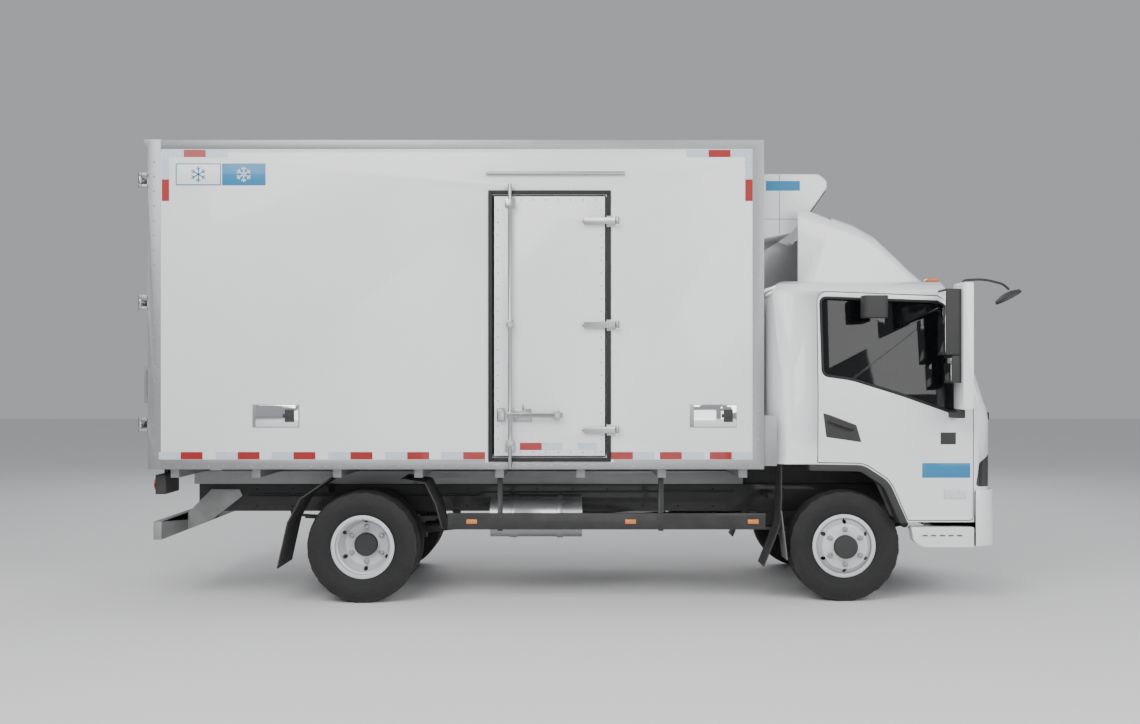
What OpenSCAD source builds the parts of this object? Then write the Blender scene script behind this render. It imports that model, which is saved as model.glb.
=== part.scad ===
// Refrigerated box truck with a tilting forward-control cab, in millimetres.
// +X points forward, +Y to the left and +Z up. The origin is on the ground, under the centre of the outline.
// Every module is drawn from the front axle, and placed() moves it to the origin.

/* [Chassis] */
// Distance between the front and rear axles
wheelbase = 3360; // [3200:10:4100]
// Outside diameter of a tyre
tyre_d = 775; // [740:5:800]
// Width of a tyre
tyre_w = 200; // [180:5:215]
// Distance between the centres of the front tyres
front_track = 1650; // [1600:10:1680]
// Distance between the centres of the rear pairs
rear_track = 1560; // [1520:10:1640]
// Distance between the centres of the two tyres of a pair
twin_pitch = 230; // [222:1:250]
// Width over the frame rails
frame_w = 780; // [720:10:820]
// Height of a frame rail
rail_h = 200; // [160:5:220]
// Height of the underside of the load box above the ground
box_z = 939; // [920:5:1150]
// Height of the frame rails' top face above the ground
rail_top = 778; // [760:2:800]

/* [Load box] */
// Length of the load box, from its front wall to its rear frame
box_l = 4208; // [3500:10:5100]
// Width over the side walls
box_w = 2220; // [2000:10:2300]
// Height of the load box
box_h = 2247; // [1900:10:2700]
// Thickness of a side, front or roof panel
panel_t = 80; // [60:5:100]
// Thickness of the floor panel
floor_t = 100; // [80:5:120]
// Gap between the cab and the load box
cab_gap = 63; // [60:1:200]
// Width of the side door's leaf
side_door_w = 757; // [600:5:910]
// Height of the side door's leaf
side_door_h = 1773; // [1400:5:1800]

/* [Cab] */
// Width over the doors' skins
cab_w = 2000; // [1900:10:2060]
// Height of the roof's highest line above the ground
cab_top = 2262; // [2200:10:2500]
// Reach of the front panel ahead of the front axle
cab_nose = 1095; // [1060:5:1140]
// Reach of the rear wall behind the front axle
cab_tail = 533; // [480:5:700]
// Thickness of a cab door and wall
wall_t = 55; // [40:1:70]
// Gap round a closed door
door_gap = 7; // [5:0.5:9]
// Lean of the windscreen from upright, in degrees
screen_lean = 18; // [14:1:22]

/* [Hidden] */
$fn = 64;

// Overlap that joins two solids of one node, and the gap between faces that only touch
bite = 1;
touch = 0.3;
// Radial clearance of a pin in its bore
pin_fit = 0.06;

// Frame and running gear
tyre_r = tyre_d / 2;
rail_web = 8;
rail_flange = 60;
rail_out = frame_w / 2;
rail_in = rail_out - rail_flange;
rail_bottom = rail_top - rail_h;
kingpin_offset = 110;
kingpin_y = front_track / 2 - kingpin_offset;
kingpin_r = 16;
spindle_front_r = 30;
spindle_rear_r = 45;
spring_y = rail_out - rail_flange / 2;
spring_w = 70;
rim_lip_r = 221;
rim_seat_r = 203;
rim_half_w = 78;
// Where the tyre is widest
wall_low_r = rim_lip_r + 0.475 * (tyre_r - rim_lip_r);
wall_high_r = rim_lip_r + 0.715 * (tyre_r - rim_lip_r);
disc_offset = 105;
hub_r = 80;
tie_rod_x = -160;
tie_rod_z = 300;
tie_rod_y = kingpin_y - 35;
tie_rod_r = 14;
rod_end_h = 34;
arm_t = 22;
arm_low = tie_rod_z - rod_end_h / 2 - 7 - arm_t;
gearbox_rear = -1150;

// Load box
box_hw = box_w / 2;
box_front = -cab_tail - cab_gap;
box_rear = box_front - box_l;
box_top = box_z + box_h;
inner_hw = box_hw - panel_t;
floor_top = box_z + floor_t;
bearers = 8;
bearer_low = box_z - 64;
rear_frame_d = 89;
rear_post_w = 95;
wall_rear = box_rear + rear_frame_d;
rear_sill_h = 106;
rear_header_h = 96;
leaf_t = 80;
leaf_gap = 6;
leaf_taper = 12;
rear_leaf_low = box_z + rear_sill_h + 8;
rear_leaf_top = box_top - rear_header_h - 8;
trim_t = 3;
rear_pin_back = 48;
rear_pin_out = 12;
rear_pin = [box_rear - rear_pin_back, box_hw + rear_pin_out];
hinge_pin_r = 7;
hinge_barrel_r = 13;
strap_t = 8;
strap_h = 50;
rear_hinges = [box_z + 303, box_z + 1139, box_z + 1974];
side_front = box_front - 1084;
side_rear = side_front - side_door_w;
side_low = box_z + 92;
side_top = side_low + side_door_h;
side_gap = 12;
side_pin = [side_front + 82, -box_hw - 30];
side_hinges = [side_low + 177, side_low + 893, side_low + 1602];
rod_r = 13;
rod_stand = 24;
rear_rods = [300, 850];

// Cab
cab_hw = cab_w / 2;
shell_t = wall_t + 10;
door_y = cab_hw - 150;
cab_back = -cab_tail;
cab_floor = 966;
cab_floor_top = 1015;
step_low = 564;
nose_low = 780;
bumper_top = 787;
tunnel_hw = 520;
roof_r = 120;
screen_point = [cab_nose - 52, cab_top - 789];
nose_cut = 6;
plan_r = 5000;
front_corner_r = 170;
rear_corner_r = 160;
tilt_pin = [cab_nose - 120, 860];
tilt_pin_r = 12;
bumper_reach = 35;
door_hinge_x = 873;
fairing_t = 18;
unit_hw = 700;

// Outlines in X and Z, each corner as [x, z, radius], anticlockwise
arch = [[-207, 974, 8], [120, 968, 160], [300, 850, 200], [423, 572, 12]];
door_outline = concat(arch, [
    [880, 572, 25], [876, 1480, 300], [772, cab_top - 127, 35], [-200, cab_top - 89, 75]]);
window_outline = [
    [-165, 1583, 45], [30, 1556, 250], [745, 1318, 50], [792, 1420, 60],
    [706, cab_top - 170, 35], [-172, cab_top - 138, 45]];

function bearer_x(i) = box_rear + 130 + i * (box_l - 290) / (bearers - 1);

function unit(v) = v / norm(v);

// Points of a corner at b between a and c, rounded to radius r in n steps
function corner(a, b, c, r, n) =
    r <= 0 ? [b] :
    let (u = unit(a - b), v = unit(c - b),
        half = acos(max(-1, min(1, u * v))) / 2,
        middle = b + unit(u + v) * r / sin(half),
        p = b + u * r / tan(half) - middle,
        q = b + v * r / tan(half) - middle,
        start = atan2(p.y, p.x),
        turn = atan2(q.y, q.x) - start,
        sweep = turn > 180 ? turn - 360 : turn < -180 ? turn + 360 : turn)
    [for (i = [0:n]) middle + r * [cos(start + sweep * i / n), sin(start + sweep * i / n)]];

// An outline of [x, y, radius] corners as a list of points
function rounded(pts, n = 5) =
    let (m = len(pts))
    [for (i = [0:m - 1])
        let (a = pts[(i + m - 1) % m], b = pts[i], c = pts[(i + 1) % m])
        each corner([a.x, a.y], [b.x, b.y], [c.x, c.y], b[2], n)];

// An anticlockwise outline drawn in by d, or out where d is negative
function drawn_in(pts, d) =
    let (m = len(pts))
    [for (i = [0:m - 1])
        let (a = pts[(i + m - 1) % m], b = pts[i], c = pts[(i + 1) % m],
            e = unit([b.x - a.x, b.y - a.y]), f = unit([c.x - b.x, c.y - b.y]),
            left_e = [-e.y, e.x], left_f = [-f.y, f.x],
            move = (left_e + left_f) * d / (1 + left_e * left_f),
            convex = e.x * f.y - e.y * f.x > 0)
        [b.x + move.x, b.y + move.y, b[2] == 0 ? 0 : max(1, convex ? b[2] - d : b[2] + d)]];

module placed() translate([-(rear_pin.x - hinge_barrel_r + cab_nose + bumper_reach) / 2, 0, 0]) children();

module block(low, high) translate(low) cube(high - low);

// Extrudes an outline of X and Z from y0 to y1
module across(y0, y1) translate([0, y1, 0]) rotate([90, 0, 0]) linear_extrude(y1 - y0) children();

// Extrudes an outline of Y and Z from x0 to x1
module lengthways(x0, x1) translate([x0, 0, 0]) rotate([90, 0, 90]) linear_extrude(x1 - x0) children();

module both_sides() {
    children();
    mirror([0, 1, 0]) children();
}

// Draws on the left, or mirrored on the right
module on_side(side) {
    if (side > 0) children();
    else mirror([0, 1, 0]) children();
}

module rod(a, b, r) {
    d = b - a;
    translate(a) rotate([0, acos(d.z / norm(d)), atan2(d.y, d.x)]) cylinder(h = norm(d), r = r);
}

module pin_y(x, z, y0, y1, r) translate([x, y0, z]) rotate([-90, 0, 0]) cylinder(h = y1 - y0, r = r);

// ---- Frame ----

module frame_rails() color("dimgray") both_sides() {
    rail_front = cab_nose - 195;
    rail_rear = box_rear + 136;
    difference() {
        block([rail_rear, rail_in, rail_bottom], [rail_front, rail_out, rail_top]);
        block([rail_rear - bite, rail_in - bite, rail_bottom + rail_web],
              [rail_front + bite, rail_out - rail_web, rail_top - rail_web]);
    }
}

module frame_crossmembers() color("dimgray") {
    web_in = rail_out - rail_web;
    low = rail_top - 88;
    for (x = [-1250, -2050, -wheelbase + 560, -wheelbase - 460, box_rear + 190])
        difference() {
            block([x, -web_in, low], [x + 90, web_in, rail_top - rail_web]);
            block([x + 8, -web_in + 60, low - bite], [x + 82, web_in - 60, rail_top - 16]);
        }
    // The front member carries the towers that the cab tilts on
    block([700, -web_in, low], [760, web_in, rail_top - rail_web]);
    both_sides() difference() {
        union() {
            for (y = [[rail_in - 14, rail_in + 8], [rail_out - 20, rail_out + 2]])
                across(y[0], y[1]) polygon(rounded([
                    [tilt_pin.x - 180, rail_top, 0], [tilt_pin.x - 10, rail_top, 20],
                    [tilt_pin.x + 38, tilt_pin.y - 20, 12], [tilt_pin.x + 32, tilt_pin.y + 34, 20],
                    [tilt_pin.x - 32, tilt_pin.y + 34, 20]]));
            pin_y(tilt_pin.x, tilt_pin.y, rail_in - 14, rail_out + 2, tilt_pin_r);
        }
        translate([tilt_pin.x - 120, rail_in - 20, rail_top + 40]) cube([30, rail_flange + 40, 30]);
    }
}

module box_subframe() color("silver") {
    both_sides() block([box_rear + 100, rail_out - 70, rail_top], [box_front - 40, rail_out, bearer_low]);
    for (i = [0:bearers - 1])
        block([bearer_x(i), -inner_hw, bearer_low], [bearer_x(i) + 60, inner_hw, box_z]);
}

module front_axle() color("darkslategray") {
    block([-45, -kingpin_y + 80, 262], [45, kingpin_y - 80, 350]);
    both_sides() {
        across(kingpin_y - 90, kingpin_y - 50) polygon([[-36, 262], [36, 262], [30, 440], [-30, 440]]);
        block([-26, kingpin_y - 60, 322], [26, kingpin_y - 20, 436]);
        translate([0, kingpin_y, 310]) cylinder(h = 155, r = 36);
        translate([0, kingpin_y, 257]) cylinder(h = 261, r = kingpin_r);
        block([-50, spring_y - 40, 300], [50, spring_y + 40, 366]);
    }
}

// The right ball joint of the tie rod is left open, so only the left knuckle has its stud
module knuckle(stud) color("darkslategray") difference() {
    union() {
        for (z = [255, 470])
            block([-34, kingpin_y - 26, z], [34, kingpin_y + 60, z + 50]);
        block([-48, kingpin_y + 41, 255], [48, kingpin_y + 64, 520]);
        pin_y(0, tyre_r, kingpin_y + 50, front_track / 2 + disc_offset + 20, spindle_front_r);
        // Arm to the tie rod
        translate([0, 0, arm_low]) linear_extrude(arm_t) polygon([
            [-20, kingpin_y + 60], [tie_rod_x - 14, tie_rod_y + 14], [tie_rod_x + 14, tie_rod_y - 14],
            [-10, kingpin_y + 26]]);
        translate([tie_rod_x, tie_rod_y, arm_low]) cylinder(h = arm_t, r = 20);
        if (stud)
            translate([tie_rod_x, tie_rod_y, arm_low + arm_t - 2]) cylinder(h = tie_rod_z + 22 - arm_low - arm_t, r = 8);
    }
    translate([0, kingpin_y, 200]) cylinder(h = 400, r = kingpin_r + pin_fit);
}

module tie_rod() color("slategray") difference() {
    union() {
        pin_y(tie_rod_x, tie_rod_z, -tie_rod_y, tie_rod_y, tie_rod_r);
        both_sides() translate([tie_rod_x, tie_rod_y, tie_rod_z - rod_end_h / 2]) cylinder(h = rod_end_h, r = 20);
    }
    both_sides() translate([tie_rod_x, tie_rod_y, tie_rod_z - 50]) cylinder(h = 100, r = 8 + pin_fit);
}

module rear_axle() color("darkslategray") {
    both_sides() {
        pin_y(-wheelbase, tyre_r, 120, rear_track / 2 - 200, 65);
        pin_y(-wheelbase, tyre_r, rear_track / 2 - 210, rear_track / 2 + 30, spindle_rear_r);
        block([-wheelbase - 60, spring_y - 40, tyre_r - 20], [-wheelbase + 60, spring_y + 40, tyre_r + 75]);
    }
    translate([-wheelbase, 0, tyre_r]) sphere(r = 175);
    rod([-wheelbase + 120, 0, tyre_r], [-wheelbase + 330, 0, tyre_r + 25], 75);
    rod([-wheelbase + 320, 0, tyre_r + 24], [gearbox_rear - 5, 0, 610], 42);
}

// A pack of leaves from one eye to the other, over the axle at x
module leaf_spring(x, seat_z, half, leaves, eye_z) {
    reach = [for (i = [0:leaves]) i < leaves ? half * (1 - 0.13 * i) : 60];
    lower = [for (i = [0:leaves - 1], j = [i, i + 1])
        [reach[j], seat_z + (eye_z - seat_z) * pow(reach[j] / half, 2) + 12 * (leaves - i - 1)]];
    across(spring_y - spring_w / 2, spring_y + spring_w / 2) polygon(concat(
        [for (q = lower) [x - q.x, q.y]],
        [for (i = [len(lower) - 1:-1:0]) [x + lower[i].x, lower[i].y]],
        [for (k = [10:-1:-10]) [x + half * k / 10, seat_z + (eye_z - seat_z) * k * k / 100 + 12 * leaves]]));
    for (end = [-1, 1]) {
        eye_x = x + end * half;
        eye_y = eye_z + 12 * leaves - 6;
        pin_y(eye_x, eye_y, spring_y - spring_w / 2, spring_y + spring_w / 2, 26);
        across(spring_y - spring_w / 2, spring_y + spring_w / 2) polygon([
            [eye_x - 24, eye_y], [eye_x + 24, eye_y], [eye_x + 30, rail_bottom], [eye_x - 30, rail_bottom]]);
    }
}

module leaf_springs() color("dimgray") both_sides() {
    leaf_spring(0, 366, 560, 4, 440);
    leaf_spring(-wheelbase, tyre_r + 75, 600, 6, tyre_r + 95);
}

module engine_block() color("gray") {
    block([cab_back - 100, -290, 460], [590, 290, 930]);
    block([gearbox_rear, -150, 500], [cab_back - 99, 150, 760]);
    both_sides() block([60, 250, 600], [130, rail_out - rail_web, 660]);
}

module exhaust_silencer() color("lightgray") {
    y = -rail_out - 250;
    x = box_front - 1237;
    translate([x - 656, y, 565]) rotate([0, 90, 0]) cylinder(h = 656, r = 143);
    for (band = [150, 480]) {
        translate([x - 656 + band, y, 565]) rotate([0, 90, 0]) cylinder(h = 40, r = 150);
        block([x - 656 + band, y + 60, 640], [x - 616 + band, -rail_out, 700]);
    }
    rod([x - 30, y, 520], [x + 200, y, 520], 36);
    rod([x + 190, y, 520], [x + 560, -220, 520], 36);
    rod([x + 550, -220, 520], [cab_back - 100 - touch, -220, 520], 36);
    rod([x - 640, y - 30, 545], [x - 800, y - 60, 545], 34);
}

module fuel_tank() color("gainsboro") {
    x = box_front - 550;
    across(rail_out + 60, rail_out + 470) polygon(rounded([
        [x - 900, 430, 60], [x, 430, 60], [x, 820, 60], [x - 900, 820, 60]]));
    for (band = [-720, -230])
        block([x + band, rail_out, 640], [x + band + 60, rail_out + 61, 760]);
    translate([x - 120, rail_out + 390, 819]) cylinder(h = 40, r = 42);
}

module battery_box() color("dimgray") {
    x = box_front - 80;
    block([x - 360, rail_out + 90, 520], [x, rail_out + 430, 850]);
    for (z = [560, 700])
        block([x - 300, rail_out, z], [x - 60, rail_out + 91, z + 40]);
}

module side_guards() color("dimgray") both_sides() {
    rear_x = -wheelbase + tyre_r + 205;
    front_x = box_front + 32;
    block([rear_x, box_hw - 150, 513], [front_x, box_hw - 120, 625]);
    for (i = [4, 6])
        block([bearer_x(i) + 12, box_hw - 185, 500], [bearer_x(i) + 47, box_hw - 149, bearer_low]);
}

module rear_underrun_bar() color("silver") {
    block([box_rear + 1, -box_hw + 110, 443], [box_rear + 57, box_hw - 110, 569]);
    both_sides() across(rail_out, rail_out + 10) polygon([
        [box_rear + 56, 445], [box_rear + 240, 520], [box_rear + 460, 690], [box_rear + 440, 740],
        [box_rear + 230, 740], [box_rear + 56, 568]]);
}

module tail_lamps() color("black") both_sides() {
    block([box_rear + 14, box_hw - 410, 758], [box_rear + 86, box_hw - 110, 892]);
    block([box_rear + 40, box_hw - 300, 880], [box_rear + 70, box_hw - 220, box_z]);
}

// A bent sheet along a line of [x, z] points, its thickness on the right of the line
module mudguard_sheet(line, y0, y1, thick) {
    last = len(line) - 1;
    back = [for (i = [last:-1:0])
        let (e = unit(line[max(i, 1)] - line[max(i, 1) - 1]), f = unit(line[min(i + 1, last)] - line[min(i, last - 1)]),
            n = [e.y + f.y, -e.x - f.x])
        line[i] + n * thick * 2 / (n * n)];
    across(y0, y1) polygon(concat(line, back));
}

module mudguards() color("black") both_sides() {
    inner = rear_track / 2 - twin_pitch / 2 - tyre_w / 2 - 10;
    outer = box_hw - 110;
    // Ahead of the rear wheels
    mudguard_sheet([[-wheelbase + 270, 866], [-wheelbase + 440, 840], [-wheelbase + 515, 690],
        [-wheelbase + 560, 520]], inner, outer, 9);
    // Behind the rear wheels
    mudguard_sheet([[-wheelbase - 590, 245], [-wheelbase - 520, 560], [-wheelbase - 430, 730],
        [-wheelbase - 230, 866]], inner, outer, 9);
    for (at = [[-wheelbase + 330, 800, 860], [-wheelbase - 330, 730, 785]])
        block([at.x - 20, rail_out, at.y], [at.x + 20, inner + 30, at.z]);
    // Behind the front wheels
    guard_in = front_track / 2 - tyre_w / 2 - 20;
    mudguard_sheet([[-575, 253], [-500, 440], [-462, 540], [-452, 720], [-452, 950]], guard_in, cab_hw - 45, 9);
    block([-500, rail_out, 700], [-448, guard_in + 1, 740]);
}

// ---- Wheels ----

// A tyre about the X axis of a turned frame, centred on y
module tyre(x, y) translate([x, y, tyre_r]) rotate([90, 0, 0]) rotate_extrude($fn = 96) polygon([
    [rim_seat_r + touch, -68], [rim_lip_r + touch, -71], [rim_lip_r + 1, -78], [wall_low_r, -tyre_w / 2],
    [wall_high_r, -tyre_w / 2],
    [tyre_r - 18, -tyre_w / 2 + 14], [tyre_r, -tyre_w / 2 + 36], [tyre_r, tyre_w / 2 - 36],
    [tyre_r - 18, tyre_w / 2 - 14], [wall_high_r, tyre_w / 2], [wall_low_r, tyre_w / 2],
    [rim_lip_r + 1, 78], [rim_lip_r + touch, 71], [rim_seat_r + touch, 68], [rim_seat_r + touch, 52], [rim_seat_r + 24, 56], [wall_low_r, tyre_w / 2 - 14],
    [wall_high_r - 2, tyre_w / 2 - 14], [tyre_r - 26, tyre_w / 2 - 34], [tyre_r - 26, -tyre_w / 2 + 34],
    [wall_high_r - 2, -tyre_w / 2 + 14], [wall_low_r, -tyre_w / 2 + 14], [rim_seat_r + 24, -56], [rim_seat_r + touch, -52]]);

// A pressed steel rim centred on y, with the flat face of its disc at face towards +Y
module rim(x, y, face) translate([x, y, tyre_r]) rotate([-90, 0, 0]) difference() {
    union() {
        rotate_extrude($fn = 96) polygon([
            [rim_lip_r - 8, -rim_half_w], [rim_lip_r, -rim_half_w + 2], [rim_lip_r, -rim_half_w + 6],
            [rim_seat_r, -rim_half_w + 9], [rim_seat_r, -30], [rim_seat_r - 14, -20], [rim_seat_r - 14, 20],
            [rim_seat_r, 30], [rim_seat_r, rim_half_w - 9], [rim_lip_r, rim_half_w - 6],
            [rim_lip_r, rim_half_w - 2], [rim_lip_r - 8, rim_half_w], [rim_seat_r - 8, rim_half_w],
            [rim_seat_r - 8, 28], [rim_seat_r - 22, 18], [rim_seat_r - 22, -18],
            [rim_seat_r - 8, -28], [rim_seat_r - 8, -rim_half_w]]);
        // Disc, dished from its flat face to the well
        rotate_extrude($fn = 96) polygon(face > 0 ?
            [[70, face - 12], [150, face - 12], [rim_seat_r - 16, 34], [rim_seat_r - 6, 34],
                [rim_seat_r - 6, 46], [158, face], [70, face]] :
            [[70, face - 12], [158, face - 12], [rim_seat_r - 6, -46], [rim_seat_r - 6, -34],
                [rim_seat_r - 16, -34], [150, face], [70, face]]);
    }
    for (a = [30:60:330]) rotate([0, 0, a]) translate([170, 0, face - 80]) cylinder(h = 140, r = 15);
}

// A hub with its bore, its cap beyond the disc's face at y
module hub(x, y, bore, inner) translate([x, y, tyre_r]) rotate([-90, 0, 0]) rotate_extrude($fn = 96)
    polygon([[bore, -inner], [92, -inner], [92, -2], [hub_r, 0], [hub_r, 38], [hub_r - 10, 45],
        [0, 45], [0, 22], [bore, 22]]);

module tyre_front_left() color("black") tyre(0, front_track / 2);

module tyre_front_right() color("black") mirror([0, 1, 0]) tyre_front_left();

module rim_front_left() color("silver") {
    rim(0, front_track / 2, disc_offset);
    hub(0, front_track / 2 + disc_offset, spindle_front_r + pin_fit, 83);
}

module rim_front_right() color("silver") mirror([0, 1, 0]) rim_front_left();

module tyres_rear_left() color("black") for (side = [-1, 1])
    tyre(-wheelbase, rear_track / 2 + side * twin_pitch / 2);

module tyres_rear_right() color("black") mirror([0, 1, 0]) tyres_rear_left();

module rims_rear_left() color("silver") {
    // The two discs face each other on one hub, the outer rim turned round
    rim(-wheelbase, rear_track / 2 - twin_pitch / 2, twin_pitch / 2 - touch);
    rim(-wheelbase, rear_track / 2 + twin_pitch / 2, 12 - twin_pitch / 2);
    hub(-wheelbase, rear_track / 2 + 12, spindle_rear_r + pin_fit, 90);
}

module rims_rear_right() color("silver") mirror([0, 1, 0]) rims_rear_left();

// ---- Load box ----

module box_floor() color("gray")
    block([wall_rear, -inner_hw, box_z], [box_front - panel_t, inner_hw, floor_top]);

module box_roof() color("white")
    block([wall_rear, -box_hw, box_top - panel_t], [box_front, box_hw, box_top]);

module box_front_wall() color("white")
    block([box_front - panel_t, -inner_hw, box_z], [box_front, inner_hw, box_top - panel_t]);

module box_left_wall() color("white")
    block([wall_rear, inner_hw, box_z], [box_front, box_hw, box_top - panel_t]);

// The right wall has the opening of the side door, with its fixed hinge plates
module box_right_wall() color("white") {
    difference() {
        block([wall_rear, -box_hw, box_z], [box_front, -inner_hw, box_top - panel_t]);
        across(-box_hw - bite, -inner_hw + bite) polygon(rounded([
            [side_rear - side_gap - leaf_taper, side_low - side_gap, 20],
            [side_front + side_gap, side_low - side_gap, 20],
            [side_front + side_gap, side_top + side_gap, 20],
            [side_rear - side_gap - leaf_taper, side_top + side_gap, 20]]));
    }
    for (z = side_hinges) {
        block([side_pin.x - 30, -box_hw - 6, z - 36], [side_pin.x + 45, -box_hw + bite, z + 36]);
        for (dz = [-36, 24]) {
            block([side_pin.x - 6, side_pin.y, z + dz], [side_pin.x + 6, -box_hw, z + dz + 12]);
            translate([side_pin.x, side_pin.y, z + dz]) cylinder(h = 12, r = hinge_barrel_r);
        }
        translate([side_pin.x, side_pin.y, z - 36]) cylinder(h = 72, r = hinge_pin_r);
    }
    // Plate behind the lock rod's upper end
    block([side_rear + 79, -box_hw - 22, side_top + 56], [side_rear + 139, -box_hw, side_top + 84]);
}

module box_rear_frame() color("silver") {
    opening_hw = box_hw - rear_post_w;
    difference() {
        block([box_rear, -box_hw, box_z], [wall_rear, box_hw, box_top]);
        block([box_rear - bite, -opening_hw, box_z + rear_sill_h],
              [wall_rear + bite, opening_hw, box_top - rear_header_h]);
    }
    // Visor over the doors
    lengthwise_visor = [[box_rear, box_top - 68], [box_rear, box_top - 6], [wall_rear, box_top],
        [wall_rear, box_top + 11], [box_rear - 41, box_top + 11], [box_rear - 38, box_top - 8]];
    across(-box_hw + 20, box_hw - 20) polygon([for (i = [5:-1:0]) lengthwise_visor[i]]);
    both_sides() {
        for (z = rear_hinges) {
            block([box_rear - 6, box_hw - 70, z - 52], [box_rear, box_hw, z + 52]);
            for (dz = [-50, 28]) {
                block([rear_pin.x, rear_pin.y - 10, z + dz], [box_rear - 1, rear_pin.y + 4, z + dz + 22]);
                block([box_rear - 6, box_hw - 30, z + dz], [box_rear, rear_pin.y + 4, z + dz + 22]);
                translate([rear_pin.x, rear_pin.y, z + dz]) cylinder(h = 22, r = hinge_barrel_r);
            }
            translate([rear_pin.x, rear_pin.y, z - 50]) cylinder(h = 100, r = hinge_pin_r);
        }
        // Keepers of the lock rods, above and below the doors
        for (y = rear_rods, z = [box_z + 22, rear_leaf_top + 12], dy = [-27, 19])
            block([box_rear - 40, y + dy, z], [box_rear + bite, y + dy + 8, z + 38]);
        // Handle to climb up by
        for (z = [box_z + 454, box_z + 684])
            block([box_rear - 40, opening_hw + 20, z], [box_rear, opening_hw + 36, z + 16]);
        block([box_rear - 44, opening_hw + 20, box_z + 454], [box_rear - 28, opening_hw + 36, box_z + 700]);
    }
}

module box_trim() color("lightgray") {
    // Rails along the bottom edge, lower under the side door
    block([wall_rear, box_hw, box_z], [box_front, box_hw + trim_t, box_z + 66]);
    block([wall_rear, -box_hw - trim_t, box_z], [box_front, -box_hw, box_z + 46]);
    block([wall_rear, -box_hw - trim_t, box_z], [side_rear - 60, -box_hw, box_z + 66]);
    block([side_front + 60, -box_hw - trim_t, box_z], [box_front, -box_hw, box_z + 66]);
    // Plate behind the lock rod's lower end
    block([side_rear + 79, -box_hw - 22, box_z + 8], [side_rear + 139, -box_hw, box_z + 36]);
    both_sides() {
        block([wall_rear, box_hw, box_top - 58], [box_front, box_hw + trim_t, box_top + trim_t]);
        block([wall_rear, box_hw - 60, box_top], [box_front, box_hw + trim_t, box_top + trim_t]);
        // Front corner post
        block([box_front - 75, box_hw, box_z], [box_front + trim_t, box_hw + trim_t, box_top]);
        block([box_front, box_hw - 60, box_z], [box_front + trim_t, box_hw + trim_t, box_top + trim_t]);
        // Plates behind the catches that hold open doors
        for (x = [box_rear + 716, box_rear + 3704])
            block([x, box_hw, box_z + 286], [x + 320, box_hw + trim_t, box_z + 443]);
    }
}

module condenser_unit() color("white") {
    across(-unit_hw, unit_hw) polygon(rounded([
        [box_front + touch, box_top - 638, 0], [box_front + 266, box_top - 585, 40],
        [box_front + 353, box_top - 495, 40], [box_front + 517, box_top - 261, 20],
        [box_front + 517, box_top - 211, 30], [box_front + 460, box_top - 161, 60],
        [box_front + touch, box_top - 161, 0]], 8));
}

module refrigerant_lines() color("black") {
    x = box_front + 14;
    for (y = [-60, 0, 60])
        rod([x, y, box_z + 120], [x, y, box_top - 640], 12);
    for (z = [box_z + 300, box_z + 900, box_z + 1450])
        block([box_front + touch, -90, z], [box_front + 22, 90, z + 30]);
    // Box of the electrical connections
    block([box_front + trim_t + touch, -box_hw + 30, box_z + 21], [box_front + 96, -box_hw + 125, box_z + 367]);
}

// ---- Doors of the load box ----

module rear_leaf() color("white") {
    translate([0, 0, rear_leaf_low]) linear_extrude(rear_leaf_top - rear_leaf_low) polygon([
        [box_rear, 5], [box_rear, box_hw - rear_post_w - leaf_gap],
        [box_rear + leaf_t, box_hw - rear_post_w - leaf_gap], [box_rear + leaf_t, 5 + leaf_taper]]);
    // Straps to the hinge pins
    for (z = rear_hinges) difference() {
        union() {
            block([rear_pin.x - 4, box_hw - 180, z - 24], [rear_pin.x + 4, rear_pin.y, z + 24]);
            block([rear_pin.x - 4, box_hw - 180, z - 24], [box_rear + bite, box_hw - 125, z + 24]);
            translate([rear_pin.x, rear_pin.y, z - 24]) cylinder(h = 48, r = hinge_barrel_r);
        }
        translate([rear_pin.x, rear_pin.y, z - 60]) cylinder(h = 120, r = hinge_pin_r + pin_fit);
    }
}

module rear_door_left() color("white") rear_leaf();

module rear_door_right() color("white") mirror([0, 1, 0]) rear_leaf();

// Two upright rods in their guides, with a handle
module rear_lock() color("silver") {
    x = box_rear - rod_stand;
    for (y = rear_rods) {
        translate([x, y, box_z + 16]) cylinder(h = rear_leaf_top + 50 - box_z - 16, r = rod_r);
        for (z = [rear_leaf_low + 20, rear_leaf_low + 620, rear_leaf_low + 1380, rear_leaf_top - 70])
            block([x - 17, y - 22, z], [box_rear - touch, y + 22, z + 50]);
        for (z = [box_z + 26, rear_leaf_top + 16])
            block([x - 15, y - 11, z], [x + 15, y + 11, z + 30]);
    }
    // Handles, each turned in from its own rod
    block([x - 20, rear_rods[0] - 16, box_z + 560], [x - 8, rear_rods[0] + 220, box_z + 590]);
    block([x - 20, rear_rods[1] - 300, box_z + 500], [x - 8, rear_rods[1] + 16, box_z + 530]);
}

module rear_lock_left() color("silver") rear_lock();

module rear_lock_right() color("silver") mirror([0, 1, 0]) rear_lock();

module side_door() color("white") {
    translate([0, 0, side_low]) linear_extrude(side_door_h) polygon([
        [side_rear, -box_hw], [side_front, -box_hw], [side_front, -inner_hw],
        [side_rear + leaf_taper, -inner_hw]]);
    for (z = side_hinges) difference() {
        union() {
            block([side_front - 20, side_pin.y - 4, z - 22], [side_pin.x, side_pin.y + 4, z + 22]);
            block([side_front - 143, side_pin.y - 4, z - 22], [side_front - 20 + bite, -box_hw + bite, z + 22]);
            translate([side_pin.x, side_pin.y, z - 22]) cylinder(h = 44, r = hinge_barrel_r);
        }
        translate([side_pin.x, side_pin.y, z - 60]) cylinder(h = 120, r = hinge_pin_r + pin_fit);
    }
}

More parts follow.
